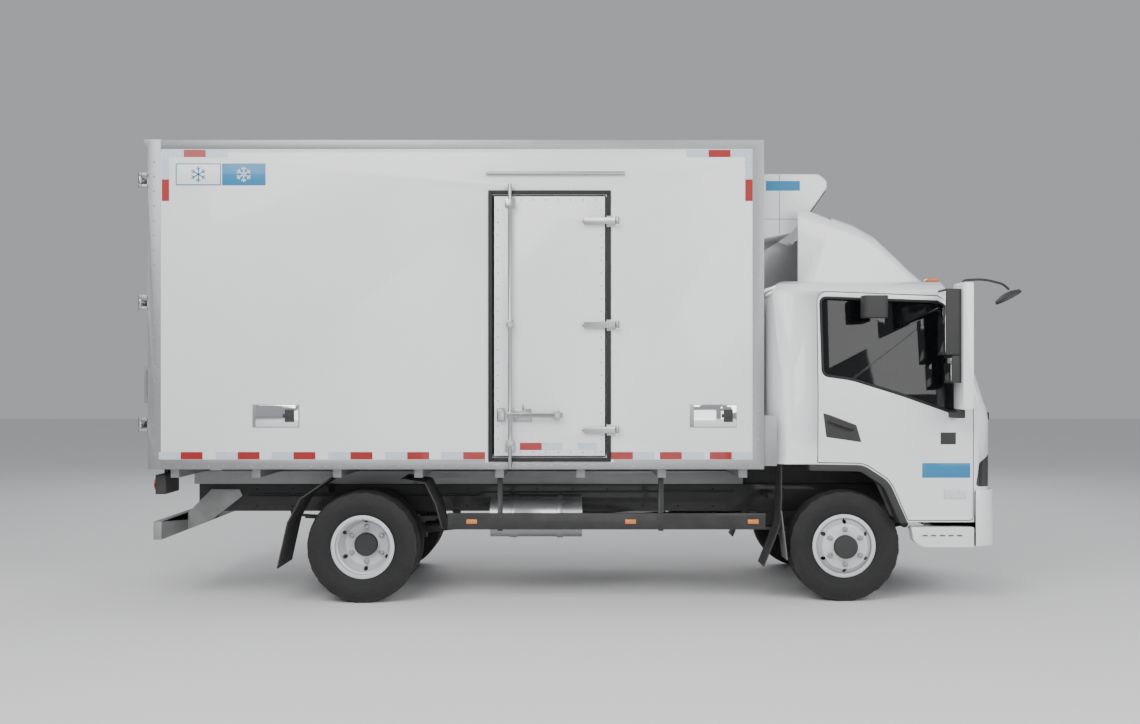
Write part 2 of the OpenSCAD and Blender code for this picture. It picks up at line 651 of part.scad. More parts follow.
module side_lock() color("silver") {
    x = side_rear + 109;
    y = -box_hw - 38;
    translate([x, y, side_low - 80]) cylinder(h = side_door_h + 160, r = rod_r);
    for (z = [side_low + 66, side_low + 880, side_low + 1700])
        block([x - 26, y - 18, z], [x + 26, -box_hw - touch, z + 44]);
    // Handle and its catch
    block([x - 20, y - 20, side_low + 262], [x + 361, y - 10, side_low + 294]);
    block([x - 20, y - 16, side_low + 255], [x + 20, y + 8, side_low + 301]);
    block([x + 300, y - 26, side_low + 248], [x + 340, -box_hw - touch, side_low + 308]);
    block([x - 84, -box_hw - 34, side_low + 240], [x - 38, -box_hw - touch, side_low + 320]);
}

// ---- Cab ----

// Plan outline with a bowed front at x = 0 and rounded front corners, as far back as tail
function plan(half, r, bow, tail, tail_r) = rounded(concat(
    [[tail, -half, tail_r], [-half * half / 2 / bow, -half, r]],
    [for (y = [-840, -560, -280, 0, 280, 560, 840]) [-y * y / 2 / bow, y, 0]],
    [[-half * half / 2 / bow, half, r], [tail, half, tail_r]]), 8);

screen_n = [cos(screen_lean), sin(screen_lean)];
screen_d = screen_point * screen_n;
nose_top = [cab_nose, (screen_d - cab_nose * screen_n.x) / screen_n.y];
roof_c = [(screen_d - roof_r - (cab_top - roof_r) * screen_n.y) / screen_n.x, cab_top - roof_r];

// A prism with the cab's plan, leaned back by a degrees, its front through p
module leaned(a, p, inset, tail, tail_r)
    translate([p.x - inset * cos(a), 0, p.y - inset * sin(a)]) rotate([0, -a, 0]) translate([0, 0, -3000])
    linear_extrude(6000) polygon(plan(cab_hw + 5 - inset, front_corner_r - inset, plan_r - inset, tail, tail_r));

// The closed outer form of the cab, drawn in by inset
module cab_volume(inset) intersection() {
    across(-1100, 1100) polygon(rounded([
        [cab_back + inset, step_low, 0], [1500, step_low, 0], [1500, cab_top + 3 - inset, 0],
        [cab_back + inset, cab_top + 3 - inset, 190 - inset]], 8));
    lengthways(-700, 1400) polygon(rounded([
        [-cab_hw + 15 + inset, 540, 0], [cab_hw - 15 - inset, 540, 0], [cab_hw - inset, 1150, 500],
        [cab_hw - inset, 1450, 400], [cab_hw - 75 - inset, cab_top - 22 - inset, 110 - inset],
        [0, cab_top - inset, 0], [-cab_hw + 75 + inset, cab_top - 22 - inset, 110 - inset],
        [-cab_hw + inset, 1450, 400], [-cab_hw + inset, 1150, 500]], 8));
    leaned(0, [cab_nose, 0], inset, cab_back - cab_nose + 2 * inset, rear_corner_r - inset);
    leaned(screen_lean / 2, nose_top - nose_cut * [cos(screen_lean / 2), sin(screen_lean / 2)], inset, -4000, 0);
    leaned(screen_lean, screen_point, inset, -4000, 0);
    for (a = [36, 54, 72])
        leaned(a, roof_c + roof_r * [cos(a), sin(a)], inset, -4000, 0);
}

module panel(thick) difference() {
    cab_volume(0);
    cab_volume(thick);
}

lamp_outline = [[892, 812, 20], [1200, 800, 0], [1200, 1040, 0], [1000, 1030, 40], [915, 975, 40]];
lamp_inner = 640;
screen_outline = [[75 - cab_hw, 1330, 90], [cab_hw - 75, 1330, 90],
    [cab_hw - 200, cab_top - 112, 80], [200 - cab_hw, cab_top - 112, 80]];
back_window = [[-550, 1500, 60], [550, 1500, 60], [550, 1950, 60], [-550, 1950, 60]];

module cab_shell() color("white") {
    difference() {
        cab_volume(0);
        intersection() {
            cab_volume(shell_t);
            union() {
                block([cab_back - 10, -1100, cab_floor_top], [1300, 1100, 2400]);
                both_sides() block([470, tunnel_hw + 40, 800], [1300, 1100, cab_floor_top + bite]);
            }
        }
        // Over the engine, over the wheels and over the bumper
        block([cab_back - 10, -tunnel_hw, 400], [cab_nose - wall_t, tunnel_hw, cab_floor]);
        across(-1100, 1100) polygon(rounded([
            [cab_back - 10, 400, 0], [415, 400, 0], [415, 570, 12], [292, 845, 192], [115, 960, 152],
            [-262, cab_floor, 0], [cab_back - 10, cab_floor, 0]], 8));
        block([884, -1100, 400], [1300, 1100, nose_low]);
        both_sides() {
            block([470, 620, 612], [860, 1100, 760]);
            // Doorway, with a flange behind the door
            difference() {
                across(door_y, 1100) polygon(rounded(door_outline, 8));
                cab_volume(wall_t + touch);
            }
            intersection() {
                across(door_y, 1100) polygon(rounded(drawn_in(door_outline, door_gap + 20), 8));
                block([-400, 0, cab_floor_top], [1000, 1100, cab_top]);
            }
            // No flange at the screen pillar, where the door's corner swings back
            intersection() {
                across(door_y, 1100) polygon(rounded(door_outline, 8));
                block([door_hinge_x - 240, 0, 1290], [1000, 1100, cab_top]);
            }
            difference() {
                across(lamp_inner, 1100) polygon(rounded(lamp_outline));
                cab_volume(46);
            }
        }
        lengthways(600, 1300) polygon(rounded(screen_outline));
        lengthways(cab_back - 10, cab_back + shell_t + 10) polygon(rounded(back_window));
    }
    // Ears that the cab tilts on
    both_sides() difference() {
        across(rail_in + 10, rail_in + 38) polygon([
            [tilt_pin.x - 34, cab_floor + bite], [tilt_pin.x - 24, tilt_pin.y - 24],
            [tilt_pin.x + 24, tilt_pin.y - 24], [tilt_pin.x + 34, cab_floor + bite]]);
        pin_y(tilt_pin.x, tilt_pin.y, rail_in - 50, rail_out + 50, tilt_pin_r + pin_fit);
    }
}

module cab_glass() color("darkslategray") {
    intersection() {
        difference() {
            cab_volume(8);
            cab_volume(14);
        }
        lengthways(600, 1300) polygon(rounded(drawn_in(screen_outline, 0.5)));
    }
    lengthways(cab_back + 20, cab_back + 25) polygon(rounded(drawn_in(back_window, 0.5)));
}

module headlamps() color("darkslategray") both_sides() intersection() {
    panel(45);
    across(lamp_inner + 0.5, 1100) polygon(rounded(drawn_in(lamp_outline, 0.5)));
}

module roof_fairing() color("white") {
    ribs = [[600, 2262, 700, 20], [500, 2340, 740, 60], [400, 2440, 765, 90], [250, 2580, 790, 120],
        [100, 2662, 805, 130], [-80, 2722, 820, 130], [-310, 2795, 835, 120]];
    difference() {
        for (i = [0:len(ribs) - 2]) hull() for (j = [i, i + 1]) fairing_rib(ribs[j], 0);
        for (i = [0:len(ribs) - 2]) hull() for (j = [i, i + 1]) fairing_rib(ribs[j], fairing_t);
        block([-400, -820 + fairing_t + 30, 2000], [-60, 820 - fairing_t - 30, 2900]);
        cab_volume(-0.4);
    }
}

module fairing_rib(rib, inset) {
    half = rib[2] - inset;
    high = cab_top + rib[1] - 2262 - inset + 2 * (inset > 0 ? 1 : 0);
    r = max(2, rib[3] - inset);
    base = cab_top - 90;
    lengthways(rib[0] - (inset > 0 ? inset : 0), rib[0] + 1 - (inset > 0 ? inset : 0)) polygon(rounded([
        [-half, base, 0], [half, base, 0], [half, max(high, base + r + 5), r],
        [-half, max(high, base + r + 5), r]]));
}

module arch_flares() color("dimgray") both_sides() across(cab_hw - 120, cab_hw + 3) polygon(concat(
    rounded([[-262, 965.7, 0], [-262, 921, 10], [96, 916, 120], [254, 812, 150], [366, 556, 0]], 8),
    rounded([[414.7, 556, 0], [414.7, 570, 12], [291.7, 844.7, 192], [114.7, 959.7, 152],
        [-262, 965.7, 0]], 8)));

module dashboard() color("dimgray") difference() {
    union() {
        intersection() {
            across(-925, 925) polygon(rounded([
                [720, 1050, 20], [1300, 1050, 0], [1300, 1280, 0], [1020, 1290, 0], [900, 1385, 40],
                [760, 1395, 60], [650, 1330, 40], [650, 1180, 40]]));
            cab_volume(shell_t + touch);
        }
        column(-400, -180, 38);
    }
    column(-420, -150, 12 + pin_fit);
}

// A cylinder on the axis of the steering wheel, from a to b along it, and the frame it is drawn in
wheel_c = [480, 480, 1545];
wheel_tilt = 32;
module on_column() translate(wheel_c) rotate([0, -wheel_tilt, 0]) children();
module column(a, b, r) on_column() translate([0, 0, a]) cylinder(h = b - a, r = r);

module steering_wheel() color("dimgray") {
    on_column() rotate_extrude($fn = 72) translate([210, 0]) circle(r = 15, $fn = 24);
    column(-330, -20, 12);
    column(-50, -5, 55);
    on_column() for (a = [90, 210, 330]) rotate([0, 0, a])
        block([40, -16, -28], [205, 16, -12]);
}

module seat(y0, y1, x) {
    across(y0 + 30, y1 - 30) polygon([[x - 200, cab_floor_top + touch], [x + 210, cab_floor_top + touch],
        [x + 240, 1190], [x - 230, 1190]]);
    across(y0, y1) polygon(rounded([[x - 260, 1190 + touch, 20], [x + 280, 1190 + touch, 40],
        [x + 290, 1325, 60], [x - 270, 1310, 30]]));
    across(y0 + 5, y1 - 5) polygon(rounded([[x - 262, 1312 + touch, 0], [x - 165, 1313 + touch, 0],
        [x - 262, 1880, 32], [x - 345, 1880, 32]]));
}

module seats() color("dimgray") {
    seat(235, 745, -40);
    seat(-745, -300, -40);
    seat(-290, 150, -40);
}

module cab_door() color("white") {
    difference() {
        intersection() {
            panel(wall_t);
            across(door_y, 1100) polygon(rounded(drawn_in(door_outline, door_gap), 8));
        }
        across(door_y - bite, 1100) polygon(rounded(window_outline, 8));
    }
}

module door_glass() color("darkslategray") intersection() {
    difference() {
        cab_volume(20);
        cab_volume(25);
    }
    across(door_y, 1100) polygon(rounded(drawn_in(window_outline, 0.5), 8));
}

module cab_door_left() color("white") cab_door();

module cab_door_right() color("white") mirror([0, 1, 0]) cab_door();

module door_glass_left() color("darkslategray") door_glass();

module door_glass_right() color("darkslategray") mirror([0, 1, 0]) door_glass();

// A mirror housing, rounded in plan, from [x, y, z] low to high
module housing(low, high, r) translate([0, 0, low.z]) linear_extrude(high.z - low.z)
    polygon(rounded([[low.x, low.y, 8], [high.x, low.y + 10, r], [high.x, high.y - 10, r], [low.x, high.y, 8]]));

module mirror_pair() difference() {
    union() {
        housing([600, cab_hw + 85, 1719], [716, cab_hw + 282, 2162], 50);
        housing([640, cab_hw + 90, 1529], [716, cab_hw + 275, 1713], 40);
        housing([714, cab_hw + 78, 1358], [771, cab_hw + 290, 2196], 40);
        // Stays to the door
        block([650, cab_hw - 100, 2088], [700, cab_hw + 120, 2122]);
        block([700, cab_hw - 30, 1290], [760, cab_hw + 180, 1330]);
        block([716, cab_hw + 120, 1300], [760, cab_hw + 180, 1400]);
    }
    cab_volume(-touch);
}

module mirror_left() color("black") mirror_pair();

// The right side also has the two mirrors that look down at the front and at the kerb
module mirror_right() color("black") {
    mirror([0, 1, 0]) mirror_pair();
    difference() {
        union() {
            translate([0, 0, 1976]) linear_extrude(152) polygon(rounded([
                [86, -1130, 40], [258, -1130, 40], [258, -1000, 30], [86, -1000, 30]]));
            block([140, -1040, 2090], [200, -880, 2120]);
        }
        cab_volume(-touch);
    }
}

module bumper_band(reach, side, r) translate([cab_nose + reach, 0, 399]) linear_extrude(bumper_top - 399)
    polygon(plan(side, r, plan_r, -700, 0));

module front_bumper() color("white") {
    difference() {
        union() {
            difference() {
                bumper_band(bumper_reach, cab_hw + 14, front_corner_r + 20);
                translate([0, 0, -1]) scale([1, 1, 1.01]) bumper_band(8, cab_hw + 8, front_corner_r + 10);
            }
            both_sides() block([cab_nose - 195, rail_in + 5, 600], [cab_nose + 12, rail_out - 5, 700]);
        }
        block([0, -1200, 300], [887, 1200, 900]);
    }
    both_sides() {
        across(900, cab_hw) polygon(rounded([
            [445, 530, 10], [462, 430, 50], [530, 390, 60], [880, 390, 5], [880, 530, 10]]));
        block([700, rail_out, 450], [740, 901, 490]);
        block([700, rail_out, 450], [740, rail_out + 12, 640]);
    }
}

module knuckle_left() color("darkslategray") knuckle(true);

module knuckle_right() color("darkslategray") mirror([0, 1, 0]) knuckle(false);

// ---- The nodes ----

placed() frame_rails();
placed() frame_crossmembers();
placed() box_subframe();
placed() box_floor();
placed() box_roof();
placed() box_front_wall();
placed() box_left_wall();
placed() box_right_wall();
placed() box_rear_frame();
placed() box_trim();
placed() condenser_unit();
placed() refrigerant_lines();
placed() engine_block();
placed() exhaust_silencer();
placed() fuel_tank();
placed() battery_box();
placed() side_guards();
placed() rear_underrun_bar();
placed() tail_lamps();
placed() mudguards();
placed() front_bumper();
placed() front_axle();
placed() rear_axle();
placed() leaf_springs();
placed() knuckle_left();
placed() knuckle_right();
placed() tie_rod();
placed() tyre_front_left();
placed() tyre_front_right();
placed() rim_front_left();
placed() rim_front_right();
placed() tyres_rear_left();
placed() tyres_rear_right();
placed() rims_rear_left();
placed() rims_rear_right();
placed() cab_shell();
placed() cab_glass();
placed() headlamps();
placed() roof_fairing();
placed() arch_flares();
placed() dashboard();
placed() seats();
placed() steering_wheel();
placed() cab_door_left();
placed() cab_door_right();
placed() door_glass_left();
placed() door_glass_right();
placed() mirror_left();
placed() mirror_right();
placed() rear_door_left();
placed() rear_door_right();
placed() side_door();
placed() rear_lock_left();
placed() rear_lock_right();
placed() side_lock();
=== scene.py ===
"""Looks of the refrigerated box truck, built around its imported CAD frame."""

import logging
import math
from dataclasses import dataclass, field
from enum import Enum
from typing import Callable, Iterable, Sequence, Union

import bpy
from mathutils import Matrix, Vector


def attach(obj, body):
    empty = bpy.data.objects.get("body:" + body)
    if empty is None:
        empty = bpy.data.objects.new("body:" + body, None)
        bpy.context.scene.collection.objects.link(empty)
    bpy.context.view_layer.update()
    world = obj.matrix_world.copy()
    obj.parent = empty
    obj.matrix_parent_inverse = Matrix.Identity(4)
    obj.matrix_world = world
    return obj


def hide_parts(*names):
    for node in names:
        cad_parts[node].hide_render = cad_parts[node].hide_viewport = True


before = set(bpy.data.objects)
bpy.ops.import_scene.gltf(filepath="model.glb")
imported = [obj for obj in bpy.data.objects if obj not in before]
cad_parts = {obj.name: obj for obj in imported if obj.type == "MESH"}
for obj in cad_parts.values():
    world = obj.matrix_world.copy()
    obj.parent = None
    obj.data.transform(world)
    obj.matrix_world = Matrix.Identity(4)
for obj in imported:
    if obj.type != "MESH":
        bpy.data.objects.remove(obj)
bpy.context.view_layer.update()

LOG = logging.getLogger("truck")
Number = Union[int, float]
Point = Sequence[float]
Colour = tuple[float, float, float]

# Distance from the row's origin forward to the front axle, in millimetres
AXLE_X = 1867.5
MM = 0.001
# Places in millimetres from the front axle: the rear axle, the box's side and its rear face
REAR_AXLE = -3360
BOX_SIDE = 1110
BOX_REAR = -4804
TYRE_RADIUS = 387.5
# Vertices closer than this many metres become one
WELD = 0.00002
DUST: Colour = (0.23, 0.21, 0.185)


def at(x: Number, y: Number, z: Number) -> Vector:
    """Turns millimetres from the front axle into the row frame.

    Args:
        x: Forward of the front axle.
        y: To the left of the middle.
        z: Above the ground.

    Returns:
        The point in metres.
    """
    return Vector(((x + AXLE_X) * MM, y * MM, z * MM))


class Side(Enum):
    """The two sides of the truck."""

    LEFT = 1
    RIGHT = -1


class Sock:
    """A shader socket that takes part in Python expressions."""

    def __init__(self, graph: "Graph", link: bpy.types.NodeSocket) -> None:
        """Keeps the graph and the socket.

        Args:
            graph: The graph that holds the socket.
            link: The output socket.
        """
        self.graph = graph
        self.link = link

    def _math(self, operation: str, *values: object) -> "Sock":
        """Adds a Math node.

        Args:
            operation: The node's operation.
            values: Its inputs.

        Returns:
            The node's result.
        """
        return self.graph.node("ShaderNodeMath", {"operation": operation}, dict(enumerate(values)))

    def __add__(self, other: object) -> "Sock":
        """Adds."""
        return self._math("ADD", self, other)

    def __sub__(self, other: object) -> "Sock":
        """Subtracts."""
        return self._math("SUBTRACT", self, other)

    def __mul__(self, other: object) -> "Sock":
        """Multiplies."""
        return self._math("MULTIPLY", self, other)

    def __truediv__(self, other: object) -> "Sock":
        """Divides."""
        return self._math("DIVIDE", self, other)

    def __pow__(self, other: object) -> "Sock":
        """Raises to a power."""
        return self._math("POWER", self, other)

    def wave(self, pitch: float) -> "Sock":
        """Gives a sine of this value.

        Args:
            pitch: The distance from crest to crest.

        Returns:
            A wave from 0 to 1.
        """
        return self._math("SINE", self * (2 * math.pi / pitch)) * 0.5 + 0.5

    def clamp(self) -> "Sock":
        """Keeps the value from 0 to 1."""
        return self._math("MINIMUM", self._math("MAXIMUM", self, 0.0), 1.0)


class Graph:
    """The node tree of one material."""

    def __init__(self, name: str) -> None:
        """Makes the material with its Principled shader.

        Args:
            name: The material's name.
        """
        self.material = bpy.data.materials.new(name)
        self.material.use_nodes = True
        self.tree = self.material.node_tree
        self.shader = self.tree.nodes["Principled BSDF"]

    def node(self, kind: str, settings: dict, inputs: dict, output: Union[int, str] = 0) -> Sock:
        """Adds any node.

        Args:
            kind: The node's type.
            settings: Its properties, set first.
            inputs: Values or links of its sockets.
            output: The output that is returned.

        Returns:
            The chosen output.
        """
        new = self.tree.nodes.new(kind)
        for key, value in settings.items():
            setattr(new, key, value)
        for key, value in inputs.items():
            self.feed(new.inputs[key], value)
        return Sock(self, new.outputs[output])

    def feed(self, socket: bpy.types.NodeSocket, value: object) -> None:
        """Sets or links one input.

        Args:
            socket: The input.
            value: A number, colour, vector or Sock.
        """
        if isinstance(value, Sock):
            self.tree.links.new(value.link, socket)
        elif socket.type == "RGBA" and len(value) == 3:
            socket.default_value = (*value, 1.0)
        else:
            socket.default_value = value

    def set(self, **inputs: object) -> None:
        """Feeds the Principled shader's inputs, with _ for a space in a name.

        Args:
            inputs: Values or links.
        """
        for key, value in inputs.items():
            self.feed(self.shader.inputs[key.replace("_", " ")], value)

    def place(self) -> Sock:
        """Gives Object coordinates."""
        return self.node("ShaderNodeTexCoord", {}, {}, "Object")

    def axis(self, name: str) -> Sock:
        """Gives one Object coordinate.

        Args:
            name: X, Y or Z.

        Returns:
            The coordinate in metres.
        """
        return self.node("ShaderNodeSeparateXYZ", {}, {"Vector": self.place()}, name)

    def noise(self, scale: float, stretch: Point = (1, 1, 1), detail: float = 3.0) -> Sock:
        """Gives noise from 0 to 1.

        Args:
            scale: Waves in a metre.
            stretch: The scale along each axis.
            detail: Octaves.

        Returns:
            The noise.
        """
        spread = self.node("ShaderNodeMapping", {}, {"Vector": self.place(), "Scale": tuple(stretch)})
        return self.node("ShaderNodeTexNoise", {}, {"Vector": spread, "Scale": scale, "Detail": detail})

    def ramp(self, value: Sock, low: float, high: float) -> Sock:
        """Turns a value into 0 to 1 between two places.

        Args:
            value: The value.
            low: Where 0 ends.
            high: Where 1 starts.

        Returns:
            The ramped value.
        """
        return ((value - low) / (high - low)).clamp()

    def mix(self, factor: object, a: object, b: object) -> Sock:
        """Mixes two colours.

        Args:
            factor: The share of b.
            a: The first colour.
            b: The second colour.

        Returns:
            The mixed colour.
        """
        new = self.tree.nodes.new("ShaderNodeMix")
        new.data_type = "RGBA"
        self.feed(new.inputs[0], factor)
        self.feed(new.inputs[6], a)
        self.feed(new.inputs[7], b)
        return Sock(self, new.outputs[2])

    def bump(self, height: Sock, depth: float, strength: float = 1.0) -> None:
        """Feeds a height to the shader's normal.

        Args:
            height: The height from 0 to 1.
            depth: What 1 is, in metres.
            strength: The bump's strength.
        """
        self.set(Normal=self.node("ShaderNodeBump", {}, {
            "Height": height, "Distance": depth, "Strength": strength}, "Normal"))


@dataclass(frozen=True)
class Finish:
    """A finish of one colour with grain, unevenness and dust.

    Attributes:
        name: The material's name.
        colour: Its base colour.
        slot: The record's material slot; nothing reads it.
        rough: Its roughness.
        metal: How metallic it is.
        coat: The weight of its clear coat.
        grain: Grain waves in a metre, along each axis.
        depth: The grain's depth in metres.
        uneven: How far colour and roughness vary.
        dust: How much dust lies on it low down.
        dust_top: The height where dust ends, in metres.
    """

    name: str
    colour: Colour
    slot: str
    rough: float = 0.4
    metal: float = 0.0
    coat: float = 0.0
    grain: tuple[float, float, float] = (300, 300, 300)
    depth: float = 0.0001
    uneven: float = 0.12
    dust: float = 0.0
    dust_top: float = 1.0

    def build(self) -> bpy.types.Material:
        """Makes the material once and returns it."""
        made = bpy.data.materials.get(self.name)
        return made if made else self.dress(Graph(self.name))

    def dress(self, g: Graph) -> bpy.types.Material:
        """Fills the graph.

        Args:
            g: The new graph.

        Returns:
            Its material.
        """
        broad = g.noise(2.3, detail=5)
        fine = g.noise(1.0, self.grain, 2)
        dark = tuple(c * (1 - self.uneven) for c in self.colour)
        light = tuple(min(1.0, c * (1 + self.uneven * 0.3)) for c in self.colour)
        colour = g.mix(broad, dark, light)
        vary = self.uneven * 0.5
        rough = broad * vary + fine * vary + self.rough * (1 - vary)
        if self.dust:
            low = g.ramp(g.axis("Z"), self.dust_top, 0.0) * g.ramp(g.noise(9.0), 0.35, 0.75) * self.dust
            colour = g.mix(low, colour, DUST)
            rough = rough + low * 0.3
        g.set(Base_Color=colour, Roughness=rough.clamp(), Metallic=self.metal, Coat_Weight=self.coat)
        g.shader.inputs["Coat Roughness"].default_value = 0.06
        g.bump(fine, self.depth)
        return g.material


@dataclass(frozen=True)
class TyreRubber(Finish):
    """Rubber with fine rings on its side wall.

    Attributes:
        axle_x: The axle that the rings run round.
    """

    axle_x: float = 0.0

    def dress(self, g: Graph) -> bpy.types.Material:
        """Fills the graph.

        Args:
            g: The new graph.

        Returns:
            Its material.
        """
        x = g.axis("X") - (self.axle_x + AXLE_X) * MM
        z = g.axis("Z") - TYRE_RADIUS * MM
        radius = (x * x + z * z) ** 0.5
        rings = radius.wave(0.009) * g.ramp(radius, 0.36, 0.35) * g.ramp(radius, 0.22, 0.24)
        dusty = g.noise(14.0) * g.ramp(radius, 0.23, 0.385)
        g.set(Base_Color=g.mix(dusty, (0.007, 0.007, 0.0075), (0.019, 0.0185, 0.018)),
              Roughness=g.noise(60.0) * 0.2 + 0.62)
        g.bump(rings * 0.7 + g.noise(500.0) * 0.3, 0.0008)
        return g.material


@dataclass(frozen=True)
class Glazing(Finish):
    """Tinted glass."""

    def dress(self, g: Graph) -> bpy.types.Material:
        """Fills the graph.

        Args:
            g: The new graph.

        Returns:
            Its material.
        """
        g.set(Base_Color=self.colour, Roughness=g.noise(4.0) * 0.02 + self.rough)
        g.shader.inputs["Transmission Weight"].default_value = 0.9
        g.shader.inputs["IOR"].default_value = 1.45
        g.bump(g.noise(1.3), 0.0004)
        return g.material


@dataclass(frozen=True)
class Weave(Finish):
    """Woven seat cloth."""

    def dress(self, g: Graph) -> bpy.types.Material:
        """Fills the graph.

        Args:
            g: The new graph.

        Returns:
            Its material.
        """
        threads = g.axis("Y").wave(0.0032) * (g.axis("X") + g.axis("Z")).wave(0.0032)
        ribs = g.ramp(g.axis("Y").wave(0.045), 0.42, 0.6)
        low, high = self.colour, tuple(c * 2.6 + 0.02 for c in self.colour)
        g.set(Base_Color=g.mix(threads * 0.7 + ribs * 0.25, low, high), Roughness=g.noise(20.0) * 0.1 + 0.82)
        g.shader.inputs["Sheen Weight"].default_value = 0.3
        g.bump(threads * 0.6 + ribs * 0.4, 0.0007)
        return g.material


@dataclass(frozen=True)
class Reflector(Finish):
    """Retroreflective film or a lamp's prisms.

    Attributes:
        cell: The size of a prism in metres.
    """

    cell: float = 0.006

    def dress(self, g: Graph) -> bpy.types.Material:
        """Fills the graph.

        Args:
            g: The new graph.

        Returns:
            Its material.
        """
        cells = g.node("ShaderNodeTexVoronoi", {"feature": "DISTANCE_TO_EDGE"}, {
            "Vector": g.place(), "Scale": 1 / self.cell}, "Distance")
        edge = g.ramp(cells, 0.03, 0.12)
        g.set(Base_Color=g.mix(edge, tuple(c * 0.7 for c in self.colour), self.colour),
              Roughness=g.noise(80.0) * 0.1 + self.rough, Coat_Weight=self.coat)
        g.bump(edge, 0.0003)
        return g.material


PANEL = Finish("panel_gelcoat", (0.80, 0.81, 0.82), "white_panel", 0.3, coat=0.35, grain=(160, 160, 160),
               depth=0.00006, uneven=0.05)
CAB_PAINT = Finish("cab_paint", (0.82, 0.83, 0.84), "white_paint", 0.24, coat=0.9, grain=(420, 420, 420),
                   depth=0.00003, uneven=0.04, dust=0.1, dust_top=0.9)
EXTRUSION = Finish("aluminium_extrusion", (0.36, 0.365, 0.37), "grey_metal", 0.42, metal=0.9,
                   grain=(3, 700, 700), depth=0.00008, uneven=0.2)
POST_METAL = Finish("aluminium_post", (0.35, 0.355, 0.36), "grey_metal", 0.4, metal=0.9,
                    grain=(700, 700, 3), depth=0.00008, uneven=0.2)
STAINLESS = Finish("stainless_steel", (0.46, 0.46, 0.465), "silver_steel", 0.2, metal=1.0,
                   grain=(4, 600, 600), depth=0.00005, uneven=0.25)
SUBFRAME = Finish("galvanised_subframe", (0.34, 0.35, 0.35), "grey_metal", 0.5, metal=0.6,
                  grain=(40, 40, 40), depth=0.0002, uneven=0.3, dust=0.5, dust_top=1.1)
FRAME_BLACK = Finish("frame_black", (0.012, 0.0125, 0.013), "frame_paint", 0.45, coat=0.2,
                     grain=(90, 90, 90), depth=0.0003, uneven=0.3, dust=0.15, dust_top=1.0)
AXLE_BLACK = Finish("axle_black", (0.017, 0.017, 0.018), "axle_paint", 0.5, grain=(60, 60, 60),
                    depth=0.0006, uneven=0.3, dust=0.5, dust_top=0.9)
CASTING = Finish("engine_casting", (0.07, 0.07, 0.072), "cast_iron", 0.6, metal=0.5, grain=(70, 70, 70),
                 depth=0.001, uneven=0.3, dust=0.4, dust_top=1.2)
WHEEL_SILVER = Finish("wheel_silver", (0.44, 0.445, 0.45), "wheel_silver", 0.32, metal=0.75, coat=0.3,
                      grain=(300, 300, 300), depth=0.00008, uneven=0.12, dust=0.12, dust_top=0.6)
BLACK_PLASTIC = Finish("black_plastic", (0.014, 0.014, 0.015), "black_plastic", 0.55, grain=(650, 650, 650),
                       depth=0.0003, uneven=0.15, dust=0.25, dust_top=1.0)
SEAL = Finish("rubber_seal", (0.009, 0.009, 0.0095), "black_plastic", 0.6, grain=(220, 220, 220),
              depth=0.0002, uneven=0.15)
DASH = Finish("dash_plastic", (0.075, 0.076, 0.08), "grey_plastic", 0.6, grain=(500, 500, 500), depth=0.0004)
LINING = Finish("load_floor_plate", (0.45, 0.46, 0.47), "load_floor", 0.5, metal=0.5, grain=(30, 200, 200))
CHROME = Finish("mirror_chrome", (0.85, 0.86, 0.87), "silver_steel", 0.04, metal=1.0,
                depth=0.00001, uneven=0.03)
FLAP = Finish("flap_rubber", (0.16, 0.16, 0.165), "frame_paint", 0.7, grain=(120, 120, 120), depth=0.0005,
              uneven=0.25, dust=0.5)
BLUE = Finish("blue_film", (0.012, 0.20, 0.40), "white_panel", 0.35, coat=0.3, uneven=0.05)
RED_TAPE = Reflector("tape_red", (0.36, 0.004, 0.004), "red_lamp", 0.3, coat=0.4)
WHITE_TAPE = Reflector("tape_white", (0.60, 0.68, 0.78), "white_panel", 0.3, coat=0.4)
RED_LENS = Reflector("lens_red", (0.45, 0.008, 0.008), "red_lamp", 0.15, coat=1.0, cell=0.009)
AMBER_LENS = Reflector("lens_amber", (0.75, 0.2, 0.01), "lamp", 0.15, coat=1.0, cell=0.009)
CLEAR_LENS = Reflector("lens_clear", (0.75, 0.77, 0.8), "lamp", 0.12, coat=1.0, cell=0.012)
GLASS = Glazing("tinted_glass", (0.035, 0.039, 0.041), "glass", 0.02)
LAMP_GLASS = Glazing("lamp_glass", (0.14, 0.145, 0.15), "lamp", 0.02)
CLOTH = Weave("seat_cloth", (0.03, 0.031, 0.036), "seat_fabric", 0.8)


